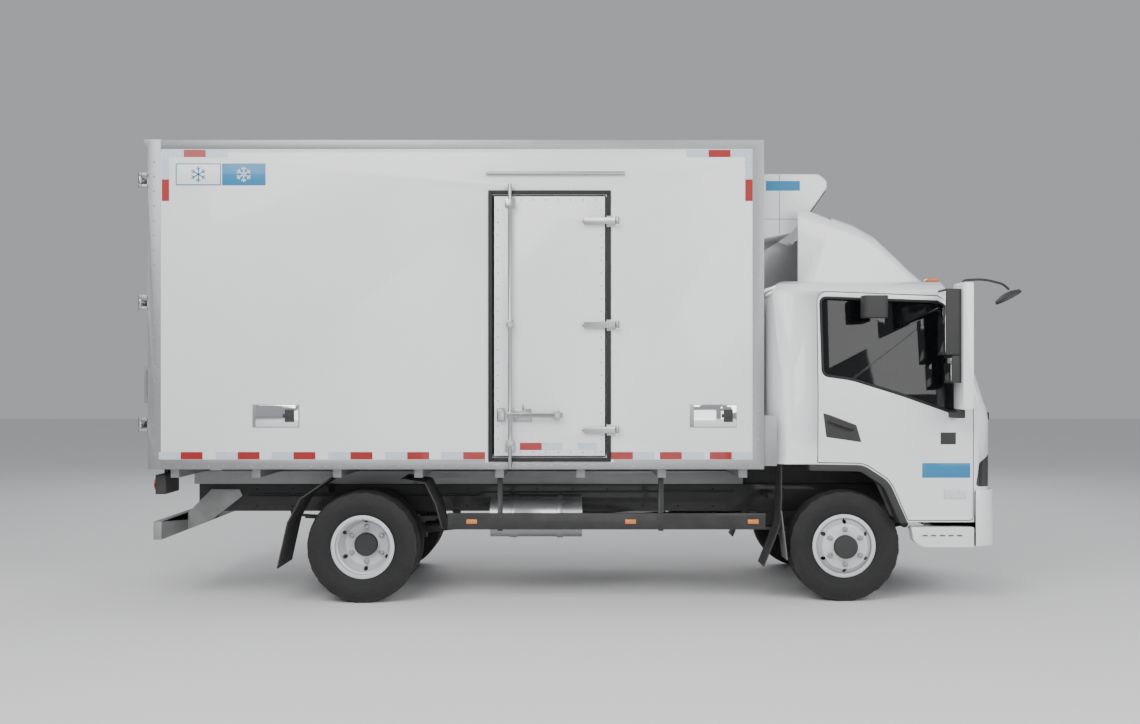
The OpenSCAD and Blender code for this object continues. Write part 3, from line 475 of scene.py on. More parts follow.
class Shop:
    """Makes and finishes pieces. Sizes are in millimetres from the front axle."""

    @staticmethod
    def only(piece: bpy.types.Object) -> None:
        """Selects one piece and makes it active."""
        bpy.ops.object.select_all(action="DESELECT")
        piece.select_set(True)
        bpy.context.view_layer.objects.active = piece

    @staticmethod
    def edit(piece: bpy.types.Object, work: Callable[[], object]) -> None:
        """Runs edit-mode operators on a whole piece.

        Args:
            piece: The piece.
            work: What is done with all of it selected.
        """
        Shop.only(piece)
        bpy.ops.object.mode_set(mode="EDIT")
        bpy.ops.mesh.select_all(action="SELECT")
        work()
        bpy.ops.object.mode_set(mode="OBJECT")

    @staticmethod
    def settle(piece: bpy.types.Object) -> bpy.types.Object:
        """Moves a piece's place into its mesh and returns it."""
        Shop.only(piece)
        bpy.ops.object.transform_apply(location=True, rotation=True, scale=True)
        return piece

    @staticmethod
    def modify(piece: bpy.types.Object, kind: str, **settings: object) -> bpy.types.Object:
        """Adds a modifier and applies it.

        Args:
            piece: The piece.
            kind: The modifier's type.
            settings: Its properties.

        Returns:
            The piece.
        """
        Shop.only(piece)
        made = piece.modifiers.new(kind.title(), kind)
        for key, value in settings.items():
            setattr(made, key, value)
        bpy.ops.object.modifier_apply(modifier=made.name)
        return piece

    @staticmethod
    def soften(piece: bpy.types.Object, width: float, segments: int = 2,
               angle: float = 35) -> bpy.types.Object:
        """Bevels the sharp edges and smooths the rest.

        Args:
            piece: The piece.
            width: The bevel's width in millimetres.
            segments: Its steps.
            angle: Edges sharper than this many degrees are bevelled.

        Returns:
            The piece.
        """
        if width:
            Shop.modify(piece, "BEVEL", width=width * MM, segments=segments, limit_method="ANGLE",
                        angle_limit=math.radians(angle), use_clamp_overlap=True, harden_normals=False)
        Shop.only(piece)
        bpy.ops.object.shade_smooth_by_angle(angle=math.radians(angle))
        return piece

    @staticmethod
    def outline(name: str, points: Sequence[Point], axis: str, low: Number, high: Number,
                bevel: float = 0, inset: float = 0, raised: float = 0) -> bpy.types.Object:
        """Makes a prism from an outline.

        Args:
            name: The piece's name.
            points: The outline's corners on the two other axes, in order.
            axis: The axis that it is extruded along: X, Y or Z.
            low: Its start on that axis.
            high: Its end.
            bevel: The edges' bevel in millimetres.
            inset: The width of a rim that is inset on the end face at high.
            raised: How far the face inside that rim stands out.

        Returns:
            The prism.
        """
        bpy.ops.object.select_all(action="DESELECT")
        bpy.ops.mesh.primitive_circle_add(vertices=len(points), fill_type="NGON")
        piece = bpy.context.object
        piece.name = name
        order = {"X": lambda p, q: at(q, p[0], p[1]), "Y": lambda p, q: at(p[0], q, p[1]),
                 "Z": lambda p, q: at(p[0], p[1], q)}[axis]
        for vertex, point in zip(piece.data.vertices, points):
            vertex.co = order(point, low)
        along = order((0, 0), high) - order((0, 0), low)

        def work() -> None:
            """Extrudes the face, and raises a field inside a rim."""
            bpy.ops.mesh.extrude_region_move(TRANSFORM_OT_translate={"value": tuple(along)})
            if inset:
                bpy.ops.mesh.inset(thickness=inset * MM)
                push = along.normalized() * raised * MM
                bpy.ops.mesh.extrude_region_move(TRANSFORM_OT_translate={"value": tuple(push)})
            bpy.ops.mesh.select_all(action="SELECT")
            bpy.ops.mesh.normals_make_consistent(inside=False)

        Shop.edit(piece, work)
        return Shop.soften(piece, bevel)

    @staticmethod
    def block(name: str, low: Point, high: Point, bevel: float = 2, segments: int = 2) -> bpy.types.Object:
        """Makes a block with rounded edges.

        Args:
            name: The piece's name.
            low: Its lowest corner.
            high: Its highest corner.
            bevel: The edges' bevel in millimetres.
            segments: The bevel's steps.

        Returns:
            The block.
        """
        bpy.ops.object.select_all(action="DESELECT")
        a, b = at(*low), at(*high)
        bpy.ops.mesh.primitive_cube_add(size=1, location=(a + b) / 2, scale=b - a)
        piece = bpy.context.object
        piece.name = name
        return Shop.soften(Shop.settle(piece), bevel, segments)

    @staticmethod
    def turned(name: str, centre: Point, axis: Vector, profile: Sequence[Point], steps: int = 32,
               bevel: float = 0) -> bpy.types.Object:
        """Spins a profile round an axis.

        Args:
            name: The piece's name.
            centre: A point on the axis.
            axis: The axis's direction.
            profile: Points as distance along the axis and radius.
            steps: The steps in a turn.
            bevel: The edges' bevel in millimetres.

        Returns:
            The turned piece.
        """
        axis = axis.normalized()
        side = axis.orthogonal().normalized()
        middle = at(*centre)
        bpy.ops.object.select_all(action="DESELECT")
        bpy.ops.mesh.primitive_circle_add(vertices=len(profile), fill_type="NOTHING")
        piece = bpy.context.object
        piece.name = name
        for vertex, (along, radius) in zip(piece.data.vertices, profile):
            vertex.co = middle + axis * along * MM + side * radius * MM
        closed = profile[0][1] > 0.01 and profile[-1][1] > 0.01

        def work() -> None:
            """Spins the line and closes it."""
            bpy.ops.mesh.spin(steps=steps, angle=2 * math.pi, center=middle, axis=axis)
            bpy.ops.mesh.select_all(action="SELECT")
            bpy.ops.mesh.remove_doubles(threshold=WELD)
            bpy.ops.mesh.normals_make_consistent(inside=False)

        if not closed:
            bpy.ops.object.mode_set(mode="OBJECT")
            edge = next(e for e in piece.data.edges if set(e.vertices) == {0, len(profile) - 1})
            edge_index = edge.index
            Shop.only(piece)
            bpy.ops.object.mode_set(mode="EDIT")
            bpy.ops.mesh.select_mode(type="EDGE")
            bpy.ops.mesh.select_all(action="DESELECT")
            bpy.ops.object.mode_set(mode="OBJECT")
            piece.data.edges[edge_index].select = True
            bpy.ops.object.mode_set(mode="EDIT")
            bpy.ops.mesh.delete(type="EDGE_FACE")
            bpy.ops.mesh.select_mode(type="VERT")
            bpy.ops.object.mode_set(mode="OBJECT")
        Shop.edit(piece, work)
        return Shop.soften(piece, bevel)

    @staticmethod
    def tube(name: str, points: Sequence[Point], radius: float, bend: float = 3.0,
             around: int = 6) -> bpy.types.Object:
        """Bends a round bar or pipe along points.

        Args:
            name: The piece's name.
            points: Its corners.
            radius: Its radius.
            bend: The radius of its bends, in radii of the bar.
            around: Half of the steps round it.

        Returns:
            The bar as a mesh.
        """
        path = [at(*p) for p in points]
        smooth = [path[0]]
        for before, here, after in zip(path, path[1:], path[2:]):
            back, on = before - here, after - here
            reach = min(bend * radius * MM, back.length / 2.2, on.length / 2.2)
            start, end = here + back.normalized() * reach, here + on.normalized() * reach
            for k in range(7):
                t = k / 6
                smooth.append(start * (1 - t) ** 2 + here * 2 * t * (1 - t) + end * t * t)
        smooth.append(path[-1])
        curve = bpy.data.curves.new(name, "CURVE")
        curve.dimensions = "3D"
        curve.bevel_depth = radius * MM
        curve.bevel_resolution = around - 2
        curve.use_fill_caps = True
        spline = curve.splines.new("POLY")
        spline.points.add(len(smooth) - 1)
        for point, place in zip(spline.points, smooth):
            point.co = (*place, 1)
        piece = bpy.data.objects.new(name, curve)
        bpy.context.scene.collection.objects.link(piece)
        Shop.only(piece)
        bpy.ops.object.convert(target="MESH")
        piece = bpy.context.object
        return Shop.soften(piece, 0, angle=50)

    @staticmethod
    def of_node(node: str, name: str, bevel: float, angle: float = 35) -> bpy.types.Object:
        """Copies a CAD node as one clean mesh with softened edges.

        Args:
            node: The node.
            name: The new piece's name.
            bevel: The edges' bevel in millimetres.
            angle: Edges sharper than this many degrees are bevelled.

        Returns:
            The copy, which stands for the node.
        """
        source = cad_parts[node]
        piece = bpy.data.objects.new(name, source.data.copy())
        bpy.context.scene.collection.objects.link(piece)
        piece.data.materials.clear()

        def work() -> None:
            """Merges the loose triangles and clears flat faces."""
            bpy.ops.mesh.remove_doubles(threshold=WELD)
            bpy.ops.mesh.dissolve_limited(angle_limit=math.radians(0.5))

        Shop.edit(piece, work)
        Shop.soften(piece, bevel, angle=angle)
        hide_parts(node)
        return piece

    @staticmethod
    def join(pieces: Iterable[bpy.types.Object], name: str) -> bpy.types.Object:
        """Joins pieces into one object and returns it."""
        pieces = list(pieces)
        bpy.ops.object.select_all(action="DESELECT")
        for piece in pieces:
            piece.select_set(True)
        bpy.context.view_layer.objects.active = pieces[0]
        if len(pieces) > 1:
            bpy.ops.object.join()
        pieces[0].name = name
        return pieces[0]

    @staticmethod
    def repeat(pattern: bpy.types.Object, moves: Iterable[Matrix], name: str) -> bpy.types.Object:
        """Copies a piece to many places and joins the copies.

        Args:
            pattern: The piece, which becomes the first copy's source and is removed.
            moves: A transform for each copy.
            name: The joined piece's name.

        Returns:
            The joined piece.
        """
        copies = []
        for move in moves:
            copy = bpy.data.objects.new(name, pattern.data.copy())
            copy.data.transform(move)
            if move.determinant() < 0:
                copy.data.flip_normals()
            bpy.context.scene.collection.objects.link(copy)
            copies.append(copy)
        bpy.data.objects.remove(pattern)
        return Shop.join(copies, name)

    @staticmethod
    def mirrored(piece: bpy.types.Object, name: str) -> bpy.types.Object:
        """Copies a piece to the other side of the truck.

        Args:
            piece: The piece.
            name: The copy's name.

        Returns:
            The copy.
        """
        copy = bpy.data.objects.new(name, piece.data.copy())
        copy.data.transform(Matrix.Scale(-1, 4, (0, 1, 0)))
        copy.data.flip_normals()
        bpy.context.scene.collection.objects.link(copy)
        return copy

    @staticmethod
    def group(pieces: Iterable[bpy.types.Object], name: str, finish: Finish, body: str = "chassis") -> None:
        """Joins pieces into one object, names it and gives it its finish and body."""
        Shop.dress(Shop.join(pieces, name), finish, body)

    @staticmethod
    def dress(piece: bpy.types.Object, finish: Finish, body: str = "chassis") -> bpy.types.Object:
        """Gives a piece its finish and body.

        Args:
            piece: The piece.
            finish: Its finish.
            body: The CAD body that it moves with.

        Returns:
            The piece.
        """
        piece.data.materials.clear()
        piece.data.materials.append(finish.build())
        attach(piece, body)
        return piece


def shift(x: Number, y: Number, z: Number) -> Matrix:
    """Gives a move in millimetres as a matrix."""
    return Matrix.Translation((x * MM, y * MM, z * MM))


def about_y(x: Number, z: Number, degrees: float) -> Matrix:
    """Gives a turn about an axle along Y through a point in millimetres."""
    middle = at(x, 0, z)
    turn = Matrix.Rotation(math.radians(degrees), 4, "Y")
    return Matrix.Translation(middle) @ turn @ Matrix.Translation(-middle)


def span(side: Side, inner: float, outer: float) -> tuple[float, float]:
    """Gives the lower and the higher Y of a piece on one side."""
    return tuple(sorted((side.value * inner, side.value * outer)))


@dataclass
class PlainNodes:
    """CAD nodes whose shape is right and that only get softened edges and a finish.

    Attributes:
        table: Each node's finish, bevel and body.
        proud: Doors with the axis and place beyond which a face is a metal hinge strap.
    """

    table: dict[str, tuple[Finish, float, str]] = field(default_factory=lambda: {
        "frame_rails": (FRAME_BLACK, 4, "chassis"),
        "frame_crossmembers": (FRAME_BLACK, 2, "chassis"),
        "box_subframe": (SUBFRAME, 3, "chassis"),
        "box_floor": (LINING, 3, "chassis"),
        "box_roof": (PANEL, 3, "chassis"),
        "box_front_wall": (PANEL, 2, "chassis"),
        "box_left_wall": (PANEL, 2, "chassis"),
        "box_right_wall": (PANEL, 2, "chassis"),
        "box_rear_frame": (POST_METAL, 2, "chassis"),
        "box_trim": (EXTRUSION, 0.8, "chassis"),
        "condenser_unit": (PANEL, 8, "chassis"),
        "refrigerant_lines": (EXTRUSION, 3, "chassis"),
        "engine_block": (CASTING, 14, "chassis"),
        "exhaust_silencer": (STAINLESS, 3, "chassis"),
        "fuel_tank": (EXTRUSION, 6, "chassis"),
        "battery_box": (BLACK_PLASTIC, 12, "chassis"),
        "side_guards": (FRAME_BLACK, 6, "chassis"),
        "rear_underrun_bar": (SUBFRAME, 6, "chassis"),
        "tail_lamps": (BLACK_PLASTIC, 4, "chassis"),
        "mudguards": (BLACK_PLASTIC, 2, "chassis"),
        "front_bumper": (CAB_PAINT, 2.5, "chassis"),
        "front_axle": (AXLE_BLACK, 6, "chassis"),
        "rear_axle": (AXLE_BLACK, 3, "chassis"),
        "leaf_springs": (AXLE_BLACK, 2, "chassis"),
        "knuckle_left": (AXLE_BLACK, 2, "knuckle_left"),
        "knuckle_right": (AXLE_BLACK, 2, "knuckle_right"),
        "tie_rod": (AXLE_BLACK, 1, "tie_rod"),
        "cab_shell": (CAB_PAINT, 0, "cab"),
        "cab_glass": (GLASS, 0, "cab"),
        "headlamps": (LAMP_GLASS, 0, "cab"),
        "roof_fairing": (CAB_PAINT, 0, "cab"),
        "arch_flares": (BLACK_PLASTIC, 2, "cab"),
        "dashboard": (DASH, 8, "cab"),
        "cab_door_left": (CAB_PAINT, 0, "cab_door_left"),
        "cab_door_right": (CAB_PAINT, 0, "cab_door_right"),
        "door_glass_left": (GLASS, 0, "cab_door_left"),
        "door_glass_right": (GLASS, 0, "cab_door_right"),
        "mirror_left": (BLACK_PLASTIC, 8, "cab_door_left"),
        "mirror_right": (BLACK_PLASTIC, 8, "cab_door_right"),
        "rear_door_left": (PANEL, 3, "rear_door_left"),
        "rear_door_right": (PANEL, 3, "rear_door_right"),
        "side_door": (PANEL, 3, "side_door"),
        "rear_lock_left": (STAINLESS, 2, "rear_door_left"),
        "rear_lock_right": (STAINLESS, 2, "rear_door_right"),
        "side_lock": (STAINLESS, 2, "side_door"),
        "steering_wheel": (DASH, 2, "steering_wheel"),
    })

    proud: dict[str, tuple[int, float]] = field(default_factory=lambda: {
        "side_door": (1, -BOX_SIDE - 2), "rear_door_left": (0, BOX_REAR - 2),
        "rear_door_right": (0, BOX_REAR - 2)})

    @staticmethod
    def strap(piece: bpy.types.Object, axis: int, limit: float) -> None:
        """Gives the hinge straps that stand proud of a door their own metal.

        Args:
            piece: The door.
            axis: 0 for X or 1 for Y.
            limit: The place in millimetres beyond which a face is metal.
        """
        piece.data.materials.append(STAINLESS.build())
        edge = at(limit, limit, 0)[axis]
        for face in piece.data.polygons:
            if face.center[axis] < edge:
                face.material_index = 1

    def build(self) -> None:
        """Makes a softened copy of each node."""
        for node, (finish, bevel, body) in self.table.items():
            piece = Shop.of_node(node, f"{node}_piece", bevel)
            Shop.dress(piece, finish, body)
            if node in self.proud:
                self.strap(piece, *self.proud[node])
        LOG.info("%d CAD nodes dressed", len(self.table))


@dataclass
class Stage:
    """Camera, floor and soft lights."""

    camera_at: tuple[float, float, float] = (-0.0515, -9.59, 1.549)
    focal: float = 39.19
    shift_up: float = 0.0158
    lamps: tuple = (
        ("key", (-3.5, -8.5, 7.5), 7.0, 860.0),
        ("fill", (6.0, -7.0, 5.0), 6.0, 420.0),
        ("back", (0.0, 9.0, 7.0), 7.0, 420.0),
        ("low_fill", (0.0, -9.0, 0.8), 4.0, 110.0))

    def build(self) -> None:
        """Adds the camera, the floor and the lights."""
        camera = bpy.data.objects.new("camera", bpy.data.cameras.new("camera"))
        camera.location = self.camera_at
        camera.rotation_euler = (math.pi / 2, 0, 0)
        camera.data.lens = self.focal
        camera.data.sensor_width = 36
        camera.data.shift_y = self.shift_up
        bpy.context.scene.collection.objects.link(camera)
        bpy.context.scene.camera = camera
        bpy.ops.object.select_all(action="DESELECT")
        bpy.ops.mesh.primitive_plane_add(size=80, location=(0, 0, 0))
        floor = bpy.context.object
        floor.name = "floor"
        g = Graph("floor_paper")
        g.set(Base_Color=g.mix(g.noise(0.6), (0.78, 0.78, 0.78), (0.82, 0.82, 0.82)), Roughness=0.9)
        floor.data.materials.append(g.material)
        for name, place, size, power in self.lamps:
            data = bpy.data.lights.new(name, "AREA")
            data.size = size
            data.energy = power
            lamp = bpy.data.objects.new(name, data)
            lamp.location = place
            lamp.rotation_euler = (Vector((0, 0, 1.4)) - Vector(place)).to_track_quat("-Z", "Y").to_euler()
            bpy.context.scene.collection.objects.link(lamp)
        world = bpy.data.worlds.new("studio")
        world.use_nodes = True
        world.node_tree.nodes["Background"].inputs["Color"].default_value = (0.93, 0.95, 1.0, 1)
        world.node_tree.nodes["Background"].inputs["Strength"].default_value = 0.42
        bpy.context.scene.world = world


@dataclass
class LoadBox:
    """Seals, rails, rivets, tape and panels on the box.

    Attributes:
        wall: Half of the box's width.
        rivet_pitch: The distance between rivets.
        tape_high: The reflective tape's height.
        tape_wide: The length of one colour of tape.
        white_then_red: Where white tape starts that has red ahead of it.
        red_then_white: Where red tape starts that has white ahead of it.
    """

    wall: float = BOX_SIDE
    rivet_pitch: int = 100
    tape_high: float = 50
    tape_wide: float = 150
    white_then_red: tuple = (-4729, -4340, -3958, -3569, -3181, -2799)
    red_then_white: tuple = (-1639, -1305, -964)

    def both(self, pieces: Iterable[bpy.types.Object], finish: Finish, name: str) -> None:
        """Joins and dresses right-hand pieces, and their left-hand copy.

        Args:
            pieces: The pieces on the right side.
            finish: The finish of both.
            name: Their name, without the side.
        """
        piece = Shop.join(pieces, f"{name}_right")
        Shop.dress(Shop.mirrored(piece, f"{name}_left"), finish)
        Shop.dress(piece, finish)

    def rivet(self, y: float, high: float = 2.2, radius: float = 6) -> bpy.types.Object:
        """Makes a rivet head at x 0, z 0 on a wall at y."""
        return Shop.turned("rivet", (0, y, 0), Vector((0, -1, 0)),
                           [(0, radius), (high * 0.7, radius * 0.7), (high, radius * 0.25), (high, 0)], 8)

    def rivets(self) -> None:
        """Adds the rivet rows on the rails and posts."""
        rows = []
        for x in range(-4690, -610, self.rivet_pitch):
            rows += [(x, 3158)]
            if not -2520 < x < -1600:
                rows += [(x, 957)]
        for z in range(1040, 3110, self.rivet_pitch):
            rows += [(-632, z), (-4760, z)]
        moves = [shift(x, 0, z) for x, z in rows]
        self.both([Shop.repeat(self.rivet(-self.wall - 3), moves, "rivets")], STAINLESS, "rail_rivets")

    def tape(self, x: float, z: float, wide: float, high: float) -> bpy.types.Object:
        """Makes one length of tape on the right wall."""
        return Shop.block("tape", (x, -self.wall - 1.2, z), (x + wide, -self.wall, z + high), 0.4, 1)

    def tapes(self) -> None:
        """Adds red and white reflective tape round the sides' edges."""
        bottom, top, wide, high, upright = 1007, 3072, self.tape_wide, self.tape_high, 148
        white, red = [], []
        for starts, first, second in ((self.white_then_red, white, red), (self.red_then_white, red, white)):
            for x in starts:
                first.append(self.tape(x, bottom, wide, high))
                second.append(self.tape(x + wide, bottom, wide, high))
        for corner, inward in ((-4708, 1), (-672, -1)):
            for k, group in enumerate((white, red, white)):
                x = corner + k * wide if inward > 0 else corner - (k + 1) * wide
                group.append(self.tape(x, top, wide, high))
            x = corner if inward > 0 else corner - high
            white.append(self.tape(x, top - wide, high, upright))
            red.append(self.tape(x, top - 2 * wide, high, upright))
        self.both(white, WHITE_TAPE, "tape_white")
        self.both(red, RED_TAPE, "tape_red")

    def side_door_frame(self) -> None:
        """Adds the side door's seal, drip rail and sill strip."""
        y, out = -self.wall, 10
        bars = [Shop.block("s", (-2478, y - out, 990), (-2449, y, 2845), 4),
                Shop.block("s", (-2449, y - out, 990), (-1639, y, 1019), 4),
                Shop.block("s", (-2449, y - out, 2816), (-1639, y, 2845), 4)]
        for z0, z1 in ((1019, 1170), (1246, 1886), (1962, 2595), (2671, 2816)):
            bars.append(Shop.block("s", (-1668, y - out, z0), (-1639, y, z1), 4))
        Shop.group(bars, "side_door_seal", SEAL)
        rail = [Shop.outline("d", [(y, 2975), (y - 4, 2975), (y - 4, 2956), (y - 22, 2950), (y - 22, 2958),
                                   (y - 19, 2958), (y - 19, 2953), (y, 2950)][::-1], "X", -2492, -1544, 0.6)]
        Shop.group(rail, "drip_rail", EXTRUSION)
        ribs = [Shop.block("k", (x, y - 5, 964), (x + 40, y - 2, 972), 1) for x in range(-2440, -1680, 95)]
        Shop.group(ribs, "sill_ribs", STAINLESS)

    def panels(self) -> None:
        """Adds the snowflake panel and the latches on the catch plates."""
        y = -self.wall
        white = Shop.block("badge_field", (-4606, y - 2.5, 2886), (-4310, y, 3022), 8, 3)
        self.both([white], PANEL, "badge_field")
        blue = [Shop.block("b", (-4613, y - 1.8, 2879), (-4304, y, 3029), 14, 3),
                Shop.block("b", (-4296, y - 2.2, 2879), (-3999, y, 3029), 14, 3)]
        self.both(blue, BLUE, "badge_blue")
        for x, z, size, lift, finish in ((-4458, 2954, 56, 2.5, BLUE), (-4148, 2954, 52, 2.2, PANEL)):
            flakes = [self.arm(x, z, size, 60 * k, y - lift) for k in range(3)]
            flakes += [self.barb(x, z, size, 60 * k, y - lift) for k in range(6)]
            self.both(flakes, finish, f"flake_{finish.name}")
        for place, x in (("rear", -3835), ("front", -841)):
            plate = [Shop.block("p", (x - 232, y - 5.5, 1229), (x + 60, y - 3, 1378), 6),
                     Shop.block("p", (x - 48, y - 8, 1242), (x + 48, y - 5.5, 1366), 6)]
            self.both(plate, CHROME, f"catch_plate_{place}")
            latch = [Shop.block("l", (x - 30, y - 15, 1262), (x + 34, y - 8, 1348), 5, 3),
                     Shop.block("l", (x - 44, y - 17, 1292), (x + 26, y - 13, 1318), 4, 3)]
            self.both(latch, BLACK_PLASTIC, f"catch_latch_{place}")

    def arm(self, x: float, z: float, size: float, degrees: float, y: float) -> bpy.types.Object:
        """Makes one bar of a snowflake."""
        bar = Shop.block("arm", (x - size, y - 1, z - 4), (x + size, y, z + 4), 0.3, 1)
        bar.data.transform(about_y(x, z, degrees + 30))
        return bar

    def barb(self, x: float, z: float, size: float, degrees: float, y: float) -> bpy.types.Object:
        """Makes the two short bars near the end of a snowflake's arm."""
        bars = []
        for turn in (45, -45):
            bar = Shop.block("barb", (x, y - 1, z - 3), (x + 22, y, z + 3), 0.3, 1)
            bar.data.transform(about_y(x, z, turn))
            bar.data.transform(shift(size * 0.55, 0, 0))
            bar.data.transform(about_y(x, z, degrees + 30))
            bars.append(bar)
        return Shop.join(bars, "barb")

    def rear_end(self) -> None:
        """Adds the number plate, lamps, marker lamps and the tape on the underrun bar at the rear."""
        for side, tag in ((1, "left"), (-1, "right")):
            for k, finish in enumerate((RED_LENS, AMBER_LENS, CLEAR_LENS)):
                y = side * (965 - k * 98)
                lens = Shop.turned("lens", (-4790, y, 825), Vector((-1, 0, 0)),
                                   [(-2, 44), (4, 44), (9, 38), (13, 20), (14, 0)], 28, 0.6)
                lens.name = f"tail_lens_{tag}_{k}"
                Shop.dress(lens, finish)
            marker = Shop.block(f"rear_marker_{tag}", (-4806, side * 1062 - 22, 2950),
                                (-4798, side * 1062 + 22, 3010), 5, 3)
            Shop.dress(marker, RED_LENS)
        plate = Shop.block("rear_plate", (-4808, -215, 449), (-4803, 215, 563), 3, 2)
        Shop.dress(plate, WHITE_TAPE)
        for k, finish in enumerate((RED_TAPE, WHITE_TAPE)):
            middles = [s * (300 + 150 * n) for s in (1, -1) for n in range(k, 5, 2)]
            strips = [Shop.block("b", (-4804.8, y - 70, 540), (-4803, y + 70, 562), 0.3, 1) for y in middles]
            Shop.group(strips, f"underrun_tape_{k}", finish)

    def build(self) -> None:
        """Builds the box's details."""
        self.rivets()
        self.tapes()
        self.side_door_frame()
        self.panels()
        self.rear_end()
        LOG.info("box details")


@dataclass
class Doors:
    """Rivets, tape, gaskets and lock parts on the box's doors.

    Attributes:
        face: The side door's outer face.
        rear_face: The rear doors' outer face.
    """

    face: float = -BOX_SIDE
    rear_face: float = BOX_REAR

    def side(self) -> None:
        """Adds what is on the side door."""
        y, out = self.face, Vector((0, -1, 0))
        moves = [shift(x, 0, z) for z in range(1060, 2800, 87) for x in (-2412, -1705)]
        moves += [shift(x, 0, z) for x in range(-2340, -1740, 85) for z in (1056, 2780)]
        rivet = Shop.turned("r", (0, y, 0), out, [(0, 6), (1.6, 4), (2.1, 1), (2.1, 0)], 8)
        Shop.dress(Shop.repeat(rivet, moves, "side_door_rivets"), STAINLESS, "side_door")
        red = Shop.block("side_door_tape_red", (-2262, y - 1.2, 1070), (-2112, y, 1120), 0.4, 1)
        Shop.dress(red, RED_TAPE, "side_door")
        white = [Shop.block("t", (-2112, y - 1.2, 1070), (-1972, y, 1120), 0.4, 1),
                 Shop.block("t", (-1865, y - 1.2, 1070), (-1735, y, 1120), 0.4, 1)]
        Shop.group(white, "side_door_tape_white", WHITE_TAPE, "side_door")
        keepers = [Shop.block("k", (-2364, y - 9, z - 34), (-2292, y, z + 34), 4) for z in (1090, 2760)]
        keepers += [Shop.block("k", (-2300, y - 7, 1262), (-2180, y, 1352), 6),
                    Shop.tube("k", [(-2240, y - 4, 1340), (-2240, y - 14, 1362), (-2240, y - 4, 1384)], 5)]
        Shop.group(keepers, "side_lock_plates", STAINLESS, "side_door")
        latch = [Shop.block("l", (-2418, y - 6, 1266), (-2366, y, 1354), 5),
                 Shop.block("l", (-2404, y - 11, 1284), (-2380, y - 5, 1336), 4)]
        Shop.group(latch, "side_latch", BLACK_PLASTIC, "side_door")
        moves = [shift(x, 0, z) for z in (1208, 1924, 2633) for x in (-1830, -1775, -1720)]
        head = Shop.turned("h", (0, y - 8, 0), out, [(0, 9), (3, 9), (6, 4), (6, 0)], 10)
        Shop.dress(Shop.repeat(head, moves, "side_hinge_bolts"), STAINLESS, "side_door")

    def leaf(self, side: Side) -> None:
        """Adds what is on one rear door.

        Args:
            side: The door's side.
        """
        s, tag, x = side.value, side.name.lower(), self.rear_face
        body = f"rear_door_{tag}"
        red, white = [], []
        for k in range(6):
            y = s * (95 + 155 * k)
            strip = Shop.block("t", (x - 1.2, y - 75, 1100), (x, y + 75, 1150), 0.4, 1)
            (red if k % 2 else white).append(strip)
        Shop.group(red, f"rear_tape_red_{tag}", RED_TAPE, body)
        Shop.group(white, f"rear_tape_white_{tag}", WHITE_TAPE, body)
        head = Shop.turned("h", (x - 8, 0, 0), Vector((-1, 0, 0)), [(0, 9), (3, 9), (6, 4), (6, 0)], 10)
        bolts = [shift(0, s * y, z) for z in (1242, 2078, 2913) for y in (700, 780, 940)]
        Shop.dress(Shop.repeat(head, bolts, f"rear_hinge_bolts_{tag}"), STAINLESS, body)
        low, high = span(side, 34, 1000)
        gasket = [Shop.block("g", (x - 4, low, z), (x, high, z + 18), 3) for z in (1058, 3060)]
        gasket += [Shop.block("g", (x - 4, s * y - half, 1060), (x, s * y + half, 3076), 3)
                   for y, half in ((22, 10), (996, 8))]
        Shop.group(gasket, f"rear_gasket_{tag}", SEAL, body)

    def build(self) -> None:
        """Builds the doors' details."""
        self.side()
        for side in Side:
            self.leaf(side)
        LOG.info("door details")


@dataclass
class CoolingUnit:
    """Grille, fans, seams and stripe on the cooling unit above the cab.

    Attributes:
        fins: How many fins the grille has.
    """

    fins: int = 15

    def build(self) -> None:
        """Builds the unit's details."""
        bars = []
        low, high = Vector((-243, 0, 2691)), Vector((-79, 0, 2925))
        along = (high - low).normalized()
        out = Vector((along.z, 0, -along.x))
        for k in range(self.fins):
            foot = low + along * (22 + k * (high - low).length * 0.87 / (self.fins - 1))
            corners = [foot, foot + along * 7, foot + along * 11 + out * 14, foot + along * 4 + out * 14]
            bars.append(Shop.outline("f", [(c.x, c.z) for c in corners], "Y", -620, 620, 1))
        Shop.group(bars, "unit_grille", BLACK_PLASTIC)
        middle = (low + high) / 2
        for k, y in enumerate((-340, 340)):
            hub = Shop.turned(f"unit_fan_ring_{k}", (middle.x, y, middle.z), out,
                              [(2, 108), (20, 108), (24, 120), (20, 132), (2, 132)], 40, 0)
            Shop.dress(hub, BLACK_PLASTIC)
        stripe = [Shop.block("s", (-516, y, 2905), (-272, y + 1.5, 2975), 0.5, 1) for y in (-701.4, 699.9)]
        Shop.group(stripe, "unit_stripe", BLUE)
        seams = [Shop.block("m", (-592, y, 2700), (-180, y + 1.2, 2703), 0.3, 1) for y in (-701, 699.8)]
        seams += [Shop.block("m", (-420, y, 2596), (-417, y + 1.2, 3020), 0.3, 1) for y in (-701, 699.8)]
        Shop.group(seams, "unit_seams", SEAL)
        for k, y in enumerate((-90, 0, 90)):
            pipe = Shop.tube(f"unit_hose_{k}", [(-560, y, 2552), (-520, y, 2470), (-505, y * 1.4, 2280),
                                                (-560, y * 1.2, 2180)], 11)
            Shop.dress(pipe, BLACK_PLASTIC)
        LOG.info("cooling unit")


